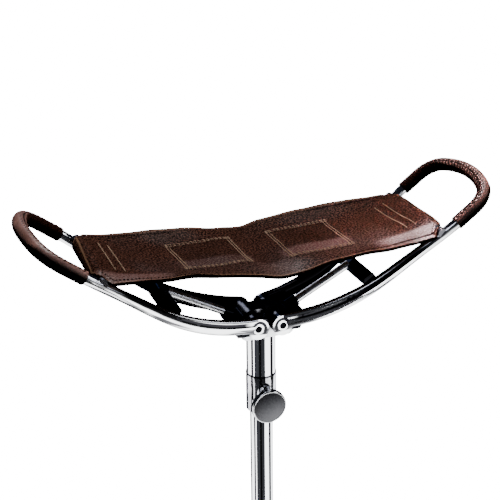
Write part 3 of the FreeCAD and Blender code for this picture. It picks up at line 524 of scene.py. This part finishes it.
def spline(knots, values, at, flat_start=False):
    """Smooth curve through the values at the knots; each slope is that of the two chords beside it.
    A table of values has one column for each place."""
    knots, values = np.asarray(knots, float), np.asarray(values, float)
    slopes = np.gradient(values, knots, axis=0)
    if flat_start:
        slopes[0] = 0
    left = np.clip(np.searchsorted(knots, at) - 1, 0, len(knots) - 2)
    width = knots[left + 1] - knots[left]
    share = np.clip((at - knots[left]) / width, 0, 1)
    column = () if values.ndim == 1 else (np.arange(len(at)),)
    here, after = (left, *column), (left + 1, *column)
    ends = values[here] * (1 + 2 * share) * (1 - share) ** 2
    ends += values[after] * share ** 2 * (3 - 2 * share)
    leans = slopes[here] * share * (1 - share) ** 2
    leans += slopes[after] * share ** 2 * (share - 1)
    return ends + width * leans


def smooth_step(low, high, value):
    """0 up to low, 1 from high on, and an even curve between them."""
    share = np.clip((value - low) / (high - low), 0, 1)
    return share * share * (3 - 2 * share)


RAIL_MEETS = 105.0  # along the seat, where the rails come near the leather


def over_rail(x, y, clearance):
    """Rise of leather that lies on a rail: the rail's round top, and nothing beside it."""
    beside = np.abs(y) - RAIL_OFFSET - (x - BAR_ACROSS) * math.tan(SPREAD)
    reach = RAIL_RADIUS + clearance
    crown = np.sqrt(np.maximum(0, reach ** 2 - beside ** 2)) / math.cos(RAIL_SLOPE)
    lifted = TIP_RISE - (TIP_ACROSS - x) * math.tan(RAIL_SLOPE) + crown
    return np.where((np.abs(beside) < reach) & (x > RAIL_MEETS), lifted, 0)


def soft_ripple(x, y):
    """A slack leather's gentle unevenness: crossed sine waves a few centimetres long, which fade out
    at the middle fold and towards the hem."""
    waves = (0.30 * np.sin(x / 9.1 + y / 17.0 + 0.7) * np.sin(y / 11.3 - x / 31.0)
             + 0.18 * np.sin(x / 5.3 - y / 7.7) + 0.15 * np.sin(y / 4.9 + x / 12.0))
    return waves * smooth_step(0, 14, x) * (1 - smooth_step(110, 134, x))


RIDGE_RISE, RIDGE_WIDTH = 0.35, 1.5  # of the hem's end as it shows through the leather
SEWN_GAP = 0.1
RAIL_GAP = 0.15


def leather_point(drape, along, across):
    """Outer face of a right-hand panel, in mm. Up to the hem it is the rise over x and y; then it
    is a circle round the seat bar; then it runs back in under the sheet it is sewn to, whose end
    shows through as a low ridge."""
    rises, tuck = drape
    along, across = np.broadcast_arrays(np.asarray(along, float), np.asarray(across, float))
    shape, s, y = along.shape, along.ravel(), across.ravel()
    angle = HEM_FIRST + np.clip(s - HEM_START, 0, HEM_END - HEM_START) / HEM_RADIUS
    back = np.maximum(s - HEM_END, 0)
    hem_x = BAR_ACROSS + HEM_RADIUS * np.sin(angle)
    x_flat = np.where(s > HEM_END, BAR_ACROSS + HEM_RADIUS * math.sin(HEM_LAST) - back,
                      np.minimum(s, HEM_START))
    rows = np.stack([spline(ALONG, row, x_flat, True) for row in rises])
    flat = spline(ACROSS, rows, y) + soft_ripple(x_flat, y)
    at_hem = np.full(len(y), float(HEM_START))
    droop = spline(ACROSS, np.stack([spline(ALONG, row, at_hem, True) for row in rises]), y)
    droop -= rises[3][-1]
    hem = BAR_RISE + (HEM_RADIUS + droop * np.maximum(0, np.cos(angle))) * np.cos(angle)
    low = BAR_RISE + HEM_RADIUS * math.cos(HEM_LAST)
    under = flat - 2 * THICKNESS - SEWN_GAP
    joins = smooth_step(2, 13, back)
    tab = (low + back * math.tan(HEM_LAST - math.pi)) * (1 - joins) + under * joins
    tab_end = BAR_ACROSS - RETURN_LENGTH
    ridge = RIDGE_RISE * np.exp(-((s - tab_end) / RIDGE_WIDTH) ** 2)
    ridge = ridge * (1 - smooth_step(33, 38, np.abs(y)))
    drawn_in = spline(ALONG, tuck, x_flat) * smooth_step(-28, -54, y)
    x = np.where(s <= HEM_START, s, np.where(s <= HEM_END, hem_x, x_flat))
    z = np.where(s <= HEM_START, flat + ridge, np.where(s <= HEM_END, hem, tab))
    above = np.maximum(z, over_rail(x, y + drawn_in, THICKNESS + RAIL_GAP))
    z = np.where(angle < RAIL_ANGLE, above, z)
    return np.stack([x, y + drawn_in, z], -1).reshape(*shape, 3)


def half_width(along):
    """Half width of the panel: cut off straight between the flaps' corners and the hem."""
    share = np.clip((along - CUT_START) / (CUT_END - CUT_START), 0, 1)
    return SLING_HALF + (HEM_HALF - SLING_HALF) * share


def to_frame(points, side):
    """From mm on the right-hand side, counted from the pins, to metres on either side."""
    return (points * (side, 1, 1) + (0, 0, PIN_LEVEL / MM)) * MM


def face_normals(points):
    """Direction that a grid of points faces, from its neighbours along and across."""
    normal = np.cross(np.gradient(points, axis=0), np.gradient(points, axis=1))
    return normal / np.linalg.norm(normal, axis=-1, keepdims=True)


def leather_sheet(name, drape, side, stations, columns, depth, thick, first=None, last=None):
    """A closed sheet under the panel's face: its outer face at a depth, rounded cut edges and inner
    face. It is as wide as the panel, or runs between two given distances across the seat. Its
    columns lie closer together towards the edges: 1.3 t less 0.3 of t cubed."""
    spread = np.linspace(-1, 1, columns)
    spread = spread * (1.3 - 0.3 * spread ** 2)
    edge = half_width(stations)[:, None]
    if first is None:
        across = spread * edge
    else:
        across = (first + last) / 2 + spread * (last - first) / 2 + 0 * edge
    along = np.repeat(stations[:, None], columns, 1)
    face = leather_point(drape, along, across)
    normal = face_normals(face)
    outer, inner = face - normal * depth, face - normal * (depth + thick)
    out = np.array([0, 0.16 * thick, 0])
    lip = [(0.7, 0.3), (0.3, 0.7)]
    right_edge = [outer[:, -1:] * a + inner[:, -1:] * b + out for a, b in lip]
    left_edge = [inner[:, :1] * a + outer[:, :1] * b - out for a, b in lip]
    ring = np.concatenate([outer, *right_edge, inner[:, ::-1], *left_edge], 1)
    flat = np.stack([along, across], -1) * MM
    uv = np.concatenate([flat, flat[:, -1:], flat[:, -1:], flat[:, ::-1], flat[:, :1], flat[:, :1]], 1)
    # strips that close the first and the last row, from outer to inner face
    width = ring.shape[1]
    top = np.arange(columns - 1)
    low = 2 * columns + 1 - top
    strip = np.stack([top + 1, top, low, low - 1], -1)
    lips = [[columns - 1, columns, columns + 1, columns + 2], [width - 2, width - 1, 0, width - 3]]
    first_row = np.concatenate([strip, np.array(lips)[:, ::-1]])
    last_row = first_row[:, ::-1] + (len(stations) - 1) * width
    mesh = grid_mesh(name, to_frame(ring, side), closed_across=True, uv=uv, flip=side > 0,
                     extra=np.concatenate([first_row, last_row]))
    margin, cut = edge - np.abs(across), 0 * edge
    margin = np.concatenate([margin, cut, cut, margin[:, ::-1], cut, cut], 1)
    layer = mesh.attributes.new("edge_mm", "FLOAT", "POINT")
    layer.data.foreach_set("value", margin.astype(np.float32).ravel())
    return mesh


SQUARE = (18, 70, -27, 31)  # first and last along the seat, first and last across it
FLAP_MARGIN = 5.0  # from a flap's cut edge to its stitches
HEM_LINE = 145.5  # along the seat, of the tan line beside the hem
EDGE_LINE = 1.9  # from the cut edge to the tan crease beside it


def band(value, middle, half, soft):
    """1 within half of the middle, all in mm, and 0 outside it, with a soft border."""
    return (value - middle * MM).size().step((half + soft) * MM, (half - soft) * MM)


leather = Finish("dark_brown_leather", specular_ior_level=0.0, coat_roughness=0.36)
flat = leather.place("UV")
along, across, _ = leather.parts(flat)
edge = leather.attribute("edge_mm")  # mm from the nearer cut edge
speckle = leather.noise(640.0, 3.0, flat).step(0.42, 0.62)
clouds = leather.noise(32.0, 3.0, flat).step(0.3, 0.7)
pores = leather.cells(620.0, flat)
body = leather.mix(speckle, (0.0015, 0.0005, 0.0003, 1), (0.068, 0.028, 0.019, 1))
body = leather.mix(clouds * 0.45, body, (0.014, 0.0045, 0.0022, 1))
low, high, front, back = SQUARE
in_square = band(along, (low + high) / 2, (high - low) / 2, 0.5)
in_square = in_square * band(across, (front + back) / 2, (back - front) / 2, 0.5)
body = leather.mix(in_square * 0.25, body, (0.008, 0.003, 0.0015, 1))
crease = (edge - EDGE_LINE).size().step(0.9, 0.35)
hem_line = band(along + 0.05 * across, HEM_LINE, 0.75, 0.25)
tan_line = crease.above(hem_line) * (0.35 + 0.4 * leather.noise(400.0, 2.0, flat))
body = leather.mix(tan_line, body, (0.19, 0.105, 0.062, 1))
# painted shade: the cut edges and the leather's thickness are painted near black
body = leather.mix(edge.step(0.5, 0.15), body, (0.008, 0.003, 0.002, 1))
# where the leather is pressed and waxed: along the flaps' stitches, and more so on the right; on the
# middle fold; over the patch beneath; and on the flaps. On the flaps, the fold and over the patch, more
# so on the right, a paler pink tone is painted in as a painted highlight
on_right = leather.parts(leather.place())[0].step(-1 * MM, 1 * MM)
from_stitches = edge + (along - CUT_START * MM).above(0.0) * (0.4 / MM) - FLAP_MARGIN
groove = from_stitches.size().step(1.2, 0.6) * (0.3 + 0.7 * on_right)
groove = groove * along.step(62 * MM, 70 * MM) * along.step(146 * MM, 142 * MM)
fold = along.step(22 * MM, 8 * MM) * across.step(-24 * MM, -34 * MM)
over_patch = band(along, 43, 29, 5) * band(across, -18, 8.5, 3.5)
flap = along.step(78 * MM, 100 * MM) * across.step(-33 * MM, -39 * MM)
seat_shine = across.step(8 * MM, -24 * MM) * along.step(118 * MM, 98 * MM)
shine = 0.08 + 0.3 * seat_shine + 0.9 * fold.above(over_patch * 0.6).above(flap)
waxed = edge.step(0.4, 1.2) * along.step(150 * MM, 138 * MM) * shine
# painted highlight: paler pink on the flaps, on the middle fold and over the patch, more so on the
# right
painted_sheen_tone = (0.4 * flap).above(over_patch * (0.12 + 0.2 * on_right)).above(0.15 * fold)
painted_sheen_tone = painted_sheen_tone * edge.step(0.6, 1.5)
body = leather.mix(painted_sheen_tone, body, (0.14, 0.062, 0.05, 1))
body = leather.mix(groove * 0.9, body, (0.004, 0.0012, 0.0008, 1))
grain = pores.step(0.0, 0.30) + 0.5 * leather.noise(1500.0, 2.0, flat)
grain = grain + 0.9 * leather.noise(150.0, 3.0, flat)
leather.set(base_color=body, roughness=0.5 + 0.2 * speckle,
            coat_weight=waxed * (0.2 + 0.5 * speckle) * (1 - 0.9 * groove),
            normal=leather.bump(grain - 0.9 * crease, 0.16 * MM))

LEFT_DRAPE, RIGHT_DRAPE = (LEFT_RISE, LEFT_TUCK), (RIGHT_RISE, RIGHT_TUCK)
SIDES = (("left", -1, LEFT_DRAPE), ("right", 1, RIGHT_DRAPE))
PANEL_STATIONS = np.concatenate([np.linspace(0, HEM_START, 110),
                                 np.linspace(HEM_START, HEM_END, 34)[1:],
                                 np.linspace(HEM_END, HEM_END + RETURN_LENGTH, 16)[1:]])
PANEL_COLUMNS = 71
HINGE_BLEND = (10 * MM, 135 * MM)


def hang(piece, word, side):
    """Bake a piece's placement into its mesh."""
    near, far = ((side * reach, 0, PIN_LEVEL) for reach in HINGE_BLEND)
    word + "_wing"
    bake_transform(piece)
    return piece


for word, side, drape in SIDES:
    mesh = leather_sheet(word + "_sling_panel", drape, side, PANEL_STATIONS, PANEL_COLUMNS, 0.0,
                         THICKNESS)
    hang(add_piece(word + "_sling_panel", mesh, leather.owner), word, side)
    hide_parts("seat_leather")

# Lining and patches: a thin split hide under the sling, flesh side down, and a square patch under
# each half where the sling bears on the user, both sewn through from above.
LINING_THICK = 1.2
LINING_DEPTH, PATCH_DEPTH = THICKNESS + 0.05, THICKNESS + LINING_THICK + 0.1
LINING_LENGTH = 111
LINING_HALF = SLING_HALF - 4
PATCH = (14, 74, -31, 35)  # first and last along the seat, first and last across it
lining_hide = Finish("split_hide", roughness=0.95, specular_ior_level=0.0)
flat = lining_hide.place("UV")
nap = lining_hide.noise(700.0, 5.0, flat).step(0.3, 0.75)
shades = lining_hide.mix(nap, (0.020, 0.012, 0.008, 1), (0.055, 0.034, 0.022, 1))
lining_hide.set(base_color=lining_hide.mix(0.4 * lining_hide.noise(40.0, 2.0, flat), shades,
                                           (0.025, 0.013, 0.009, 1)),
                normal=lining_hide.bump(nap, 0.22 * MM))

low, high, front, back = PATCH
for word, side, drape in SIDES:
    lining = leather_sheet(word + "_lining", drape, side, np.linspace(0, LINING_LENGTH, 70), 45,
                           LINING_DEPTH, LINING_THICK, -LINING_HALF, LINING_HALF)
    patch = leather_sheet(word + "_patch", drape, side, np.linspace(low, high, 46), 41,
                          PATCH_DEPTH, LINING_THICK, front, back)
    for mesh, node in ((lining, "seat_lining"), (patch, "lining_patches")):
        piece = hang(add_piece(mesh.name, mesh, lining_hide.owner), word, side)
        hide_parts(node)


# Stitching: waxed linen thread. A double tan row goes through to the underside round each square
# patch, two rows hold each hem, and a dark row follows the edge of each flap.
BEAD_RINGS, BEAD_SIDES = 6, 6  # two quads close a bead's end of six sides


def beads(starts, ends, facing, radius):
    """One bead of thread for each start and end. It arches a little over the leather and narrows
    into its two holes: height and radius follow a half sine wave."""
    share = np.linspace(0, 1, BEAD_RINGS)[:, None, None]
    arch = np.sin(math.pi * share)
    run = ends - starts
    middle = starts + run * share + facing * (radius * (0.95 * arch - 0.45))
    beside = np.cross(run, facing)
    beside /= np.linalg.norm(beside, axis=-1, keepdims=True)
    turn = np.radians(np.arange(BEAD_SIDES) * 360 / BEAD_SIDES)[:, None, None, None]
    ring = np.cos(turn) * beside + np.sin(turn) * facing
    return (middle + ring * radius * (0.5 + 0.5 * arch)).transpose(2, 1, 0, 3)


def bead_mesh(name, points, side):
    """Mesh of many beads, given as beads by rings by points round each ring, with closed ends."""
    count, rings, around = points.shape[:3]
    mesh = bpy.data.meshes.new(name)
    index = np.arange(count * rings * around).reshape(count, rings, around)
    turned = np.roll(index, -1, 2)
    walls = np.stack([index[:, :-1], turned[:, :-1], turned[:, 1:], index[:, 1:]], -1).reshape(-1, 4)
    caps = [index[:, end][:, corners] for end, corners in
            ((0, (3, 2, 1, 0)), (0, (5, 4, 3, 0)), (-1, (0, 1, 2, 3)), (-1, (0, 3, 4, 5)))]
    quads = np.concatenate([walls, *caps])
    if side < 0:
        quads = quads[:, ::-1]
    mesh.from_pydata(to_frame(points, side).reshape(-1, 3), [], quads.tolist())
    mesh.shade_smooth()
    return mesh


def stitch_line(first, last, pitch=3.6, share=0.86):
    """Starts and ends of the stitches on a straight line of the flat leather."""
    first, last = np.array(first, float), np.array(last, float)
    length = np.linalg.norm(last - first)
    count = int(round(length / pitch))
    begin = (np.arange(count) + (1 - share) / 2)[:, None] / count
    return first + (last - first) * begin, first + (last - first) * (begin + share / count)


SLOPE_REACH = 0.6  # mm to each side of a bead's middle


def sewn(drape, lines, radius, depth=0.0):
    """Beads on the leather along lines of the flat leather, on its face or under it at a depth. The
    face's direction comes from points a little before, after and beside each bead's middle."""
    starts, ends = (np.concatenate(part) for part in zip(*lines))
    middle = (starts + ends) / 2
    place = [leather_point(drape, *points.T) for points in (starts, ends)]
    slope = [leather_point(drape, *(middle + step).T) - leather_point(drape, *(middle - step).T)
             for step in np.eye(2) * SLOPE_REACH]
    facing = np.cross(*slope)
    facing /= np.linalg.norm(facing, axis=-1, keepdims=True)
    if depth:
        return beads(place[0] - facing * depth, place[1] - facing * depth, -facing, radius)
    return beads(*place, facing, radius)


OVERSHOOT = 3.0  # of the rows past the square's corners
ROW_GAP = 2.4


def square_lines():
    """Both rows of stitches along the four sides of a square."""
    low, high, front, back = SQUARE
    lines = []
    for step in (-ROW_GAP / 2, ROW_GAP / 2):
        for across in (front, back):
            lines.append(((low - OVERSHOOT, across + step), (high + OVERSHOOT, across + step)))
        for along in (low, high):
            lines.append(((along + step, front - OVERSHOOT), (along + step, back + OVERSHOOT)))
    return [stitch_line(*line) for line in lines]


HEM_ROWS, HEM_ENDS = (119.6, 127.3), (-28.7, 33)
FLAP_FIRST, FLAP_TURN, FLAP_LAST = 62, CUT_START - 2, 140
FLAP_LAST_ACROSS = 37
FINE_THREAD, FULL_THREAD = 0.5, 0.55  # radius of a stitch
thread = Finish("tan_thread", roughness=0.75, specular_ior_level=0.1)
fibres = thread.noise(2600.0, 3.0)
thread.set(base_color=thread.mix(fibres, (0.13, 0.08, 0.05, 1), (0.36, 0.24, 0.165, 1)),
           normal=thread.bump(fibres, 0.08 * MM))
dark_thread = Finish("dark_thread", roughness=0.7, specular_ior_level=0.1)
fibres = dark_thread.noise(2600.0, 3.0)
dark_thread.set(base_color=dark_thread.mix(fibres, (0.006, 0.0015, 0.001, 1), (0.03, 0.008, 0.005, 1)),
                normal=dark_thread.bump(fibres, 0.08 * MM))

stitches = {"left": [], "right": []}


def sew_on(name, points, material, word, side):
    """Add stitches to the sling, listed with their panel."""
    piece = hang(add_piece(name, bead_mesh(name, points, side), material), word, side)
    stitches[word].append(piece)


for word, side, drape in SIDES:
    square = sewn(drape, square_lines(), FINE_THREAD)
    sew_on(word + "_patch_stitches", square, thread.owner, word, side)
    hem_lines = [stitch_line((row, HEM_ENDS[0]), (row, HEM_ENDS[1]), 3.2) for row in HEM_ROWS]
    sew_on(word + "_hem_stitches", sewn(drape, hem_lines, FULL_THREAD), thread.owner, word, side)
    flap_lines = []
    for way in (-1, 1):
        route = ((FLAP_FIRST, SLING_HALF - FLAP_MARGIN), (FLAP_TURN, SLING_HALF - FLAP_MARGIN),
                 (FLAP_LAST, FLAP_LAST_ACROSS))
        corners = [(along, way * across) for along, across in route]
        flap_lines += [stitch_line(*ends, 3.0, 0.7) for ends in zip(corners, corners[1:])]
    sew_on(word + "_flap_stitches", sewn(drape, flap_lines, FULL_THREAD), dark_thread.owner, word, side)
    under = sewn(drape, square_lines(), FINE_THREAD, PATCH_DEPTH + LINING_THICK)
    sew_on(word + "_under_stitches", under, thread.owner, word, side)

# area of the flat panel: its full width, the cut between flap and hem, and the hem
PANEL_LENGTH = HEM_END + RETURN_LENGTH
PANEL_CUT = (2 * SLING_HALF * CUT_START + (SLING_HALF + HEM_HALF) * (CUT_END - CUT_START)
             + 2 * HEM_HALF * (PANEL_LENGTH - CUT_END))
for word, side, drape in SIDES:
    PANEL_LENGTH * MM
    word + "_seat_bar"
    PANEL_CUT * MM * MM


# Handle sleeves: a strip of the same hide wrapped round each handle loop and drawn together along the
# loop's upper side with a slanting whip stitch, which puckers it.
HANDLE_HALF = 47.5
LEATHER_START = 154.5  # across the seat, where a sleeve's ends lie
LEG_END = 169.7
CORNER_RADIUS = 22.0
TILT = math.cos(RAIL_SLOPE)
LOOP_REACH = (TIP_ACROSS - LEG_END) / TILT
LOOP_OFFSET = HANDLE_HALF - CORNER_RADIUS
END_RADIUS = (LOOP_REACH ** 2 + LOOP_OFFSET ** 2 - CORNER_RADIUS ** 2) / (
    2 * (LOOP_REACH - CORNER_RADIUS))
END_CENTRE = TIP_ACROSS / TILT - END_RADIUS
MEET = math.atan2(LOOP_OFFSET, LEG_END / TILT - END_CENTRE)
END_ARC = END_RADIUS * MEET
CORNER_ARC = CORNER_RADIUS * (math.pi / 2 - MEET)
LEG = (LEG_END - LEATHER_START) / TILT
LOOP_HALF = END_ARC + CORNER_ARC + LEG
CORE_RADIUS = 4.55
SEAM_PITCH = 4.2  # from one whip stitch to the next
SEAM_TURN = math.pi / 2 + 0.10
SEAM_LEAN = 4.4  # mm along the loop for each radian round it
SEAM_HALF = 0.45  # radians from the seam to a stitch's ends
SEAM_SINK = 0.25  # of a stitch's ends into the leather
PAINTED_LIT_TURN = 1.05  # middle of the side painted paler as a painted highlight
RUN_STEPS, TURN_STEPS = 420, 48
END_ROUNDING, END_DROP = 1.2, 0.7


def loop_place(run):
    """Centre of the loop at a distance from its tip, with its outward and upward ways: an end arc,
    a corner arc that touches it, and a straight leg, in the plane that holds the rails."""
    far, way = np.abs(run), np.where(run < 0, -1.0, 1.0)
    turn = np.where(far < END_ARC, far / END_RADIUS,
                    np.minimum(MEET + (far - END_ARC) / CORNER_RADIUS, math.pi / 2))
    straight = np.maximum(0, far - END_ARC - CORNER_ARC)
    radius = np.where(far < END_ARC, END_RADIUS, CORNER_RADIUS)
    along = np.where(far < END_ARC, END_CENTRE, LEG_END / TILT) + radius * np.cos(turn) - straight
    sideways = np.where(far < END_ARC, 0, LOOP_OFFSET) + radius * np.sin(turn)
    x = along * TILT
    centre = np.stack([x, way * sideways, TIP_RISE - (TIP_ACROSS - x) * math.tan(RAIL_SLOPE)], -1)
    steep = math.sin(RAIL_SLOPE)
    outward = np.stack([np.cos(turn) * TILT, way * np.sin(turn), np.cos(turn) * steep], -1)
    upward = np.broadcast_to([-steep, 0, TILT], outward.shape)
    return centre, outward, upward


def sleeve_radius(run, turn):
    """Radius of the sleeve: a groove along its seam, puckers beside the seam that slant with the
    stitches, wrinkles on the inside of the bends, and ends that narrow."""
    off_seam = turn - SEAM_TURN
    pucker = np.cos(2 * math.pi * (run + SEAM_LEAN * off_seam) / SEAM_PITCH)
    pucker = pucker * np.exp(-(off_seam / 0.55) ** 2)
    seam = np.exp(-(off_seam / 0.13) ** 2)
    inside = np.exp(-((turn - math.pi) / 0.8) ** 2)
    bent = smooth_step(0, 6, END_ARC + CORNER_ARC - np.abs(run))
    bent = bent * smooth_step(0, 8, np.abs(run) - END_ARC * 0.6)
    wrinkle = np.sin(2 * math.pi * run / 4.3 + 1.5 * np.sin(turn * 3)) * inside * bent
    return SLEEVE_RADIUS - 0.22 + 0.22 * pucker - 0.4 * seam - 0.12 * wrinkle


def sleeve(name, side):
    """Closed shell: along the loop outside, over its rounded end, and back inside on fewer rings.
    Each ring is a circle of the sleeve's radius in the loop's outward and upward ways."""
    runs = np.linspace(-LOOP_HALF, LOOP_HALF, RUN_STEPS)
    turns = SEAM_TURN + np.linspace(-math.pi, math.pi, TURN_STEPS, endpoint=False)
    centre, outward, upward = loop_place(runs)
    ring = (np.cos(turns)[None, :, None] * outward[:, None]
            + np.sin(turns)[None, :, None] * upward[:, None])
    radius = sleeve_radius(runs[:, None], turns[None, :])
    to_end = LOOP_HALF - np.abs(runs)[:, None]
    rounded = 1 - np.sqrt(1 - (1 - np.clip(to_end / END_ROUNDING, 0, 1)) ** 2)
    radius = radius - END_DROP * rounded
    outer = centre[:, None] + ring * radius[..., None]
    inner = (centre[:, None] + ring * CORE_RADIUS)[::-6]
    points = np.concatenate([outer, inner])
    along = np.concatenate([runs, runs[::-6]])
    around = (turns - SEAM_TURN) * SLEEVE_RADIUS
    uv = np.stack(np.broadcast_arrays(along[:, None], around[None, :]), -1) * MM
    mesh = grid_mesh(name, to_frame(points, side), closed_along=True, closed_across=True, uv=uv,
                     flip=side < 0)
    for layer_name, amounts in (("off_seam", np.abs(turns - SEAM_TURN)),
                                ("painted_lit_side", np.cos(turns - PAINTED_LIT_TURN))):
        layer = mesh.attributes.new(layer_name, "FLOAT", "POINT")
        layer.data.foreach_set("value", np.tile(amounts, len(along)).astype(np.float32))
    return mesh


wrap = Finish("handle_hide", specular_ior_level=0.0, coat_roughness=0.42)
along, around, _ = wrap.parts(wrap.place("UV"))
off_seam, painted_lit_side = wrap.attribute("off_seam"), wrap.attribute("painted_lit_side")
painted_lit_side = painted_lit_side + 0.4 * along.size().step((END_ARC + 10) * MM, (END_ARC - 10) * MM)
speckle = wrap.noise(900.0, 3.0).step(0.35, 0.7)
highlight_blotches = wrap.noise(60.0, 3.0).step(0.4, 0.75)
tone = wrap.mix(speckle, (0.006, 0.002, 0.0012, 1), (0.034, 0.012, 0.008, 1))
# painted highlight: the sleeve's upper outer side and the loop's end are painted paler pink, in
# blotches
tone = wrap.mix(painted_lit_side.step(0.62, 0.9) * (0.5 + 0.5 * highlight_blotches), tone, (0.24, 0.115, 0.095, 1))
phase = (along + around * (SEAM_LEAN / SLEEVE_RADIUS)) * (2 * math.pi / (SEAM_PITCH * MM))
gash = phase.cosine().step(0.0, -0.6) * off_seam.step(0.75, 0.5)
in_seam = off_seam.step(0.14, 0.06).above(gash)
grain = wrap.cells(700.0, wrap.place()).step(0.0, 0.3) + wrap.noise(1600.0, 2.0)
wrap.set(base_color=wrap.mix(in_seam * 0.95, tone, (0.004, 0.0015, 0.001, 1)),
         roughness=0.5 + 0.2 * speckle,
         coat_weight=painted_lit_side.step(0.6, 0.9) * (0.35 + 0.3 * speckle) * (1 - 0.9 * in_seam),
         normal=wrap.bump(grain, 0.12 * MM))

for word, side, drape in SIDES:
    covered = add_piece(word + "_sleeve", sleeve(word + "_sleeve", side), wrap.owner)
    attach(covered, word + "_wing")
    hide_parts(word + "_handle_leather")
    count = 2 * int((LOOP_HALF - 2) / SEAM_PITCH)
    begin = (np.arange(count) + 0.5 - count / 2) * SEAM_PITCH
    ends = []
    for turn in (-SEAM_HALF, SEAM_HALF):
        centre, outward, upward = loop_place(begin - turn * SEAM_LEAN)
        facing = outward * math.cos(SEAM_TURN + turn) + upward * math.sin(SEAM_TURN + turn)
        ends.append(centre + facing * (SLEEVE_RADIUS - SEAM_SINK))
    _, outward, upward = loop_place(begin)
    facing = outward * math.cos(SEAM_TURN) + upward * math.sin(SEAM_TURN)
    whip = add_piece(word + "_whip_stitches",
                     bead_mesh(word + "_whip_stitches", beads(*ends, facing, FINE_THREAD), side),
                     dark_thread.owner)
    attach(whip, word + "_wing")
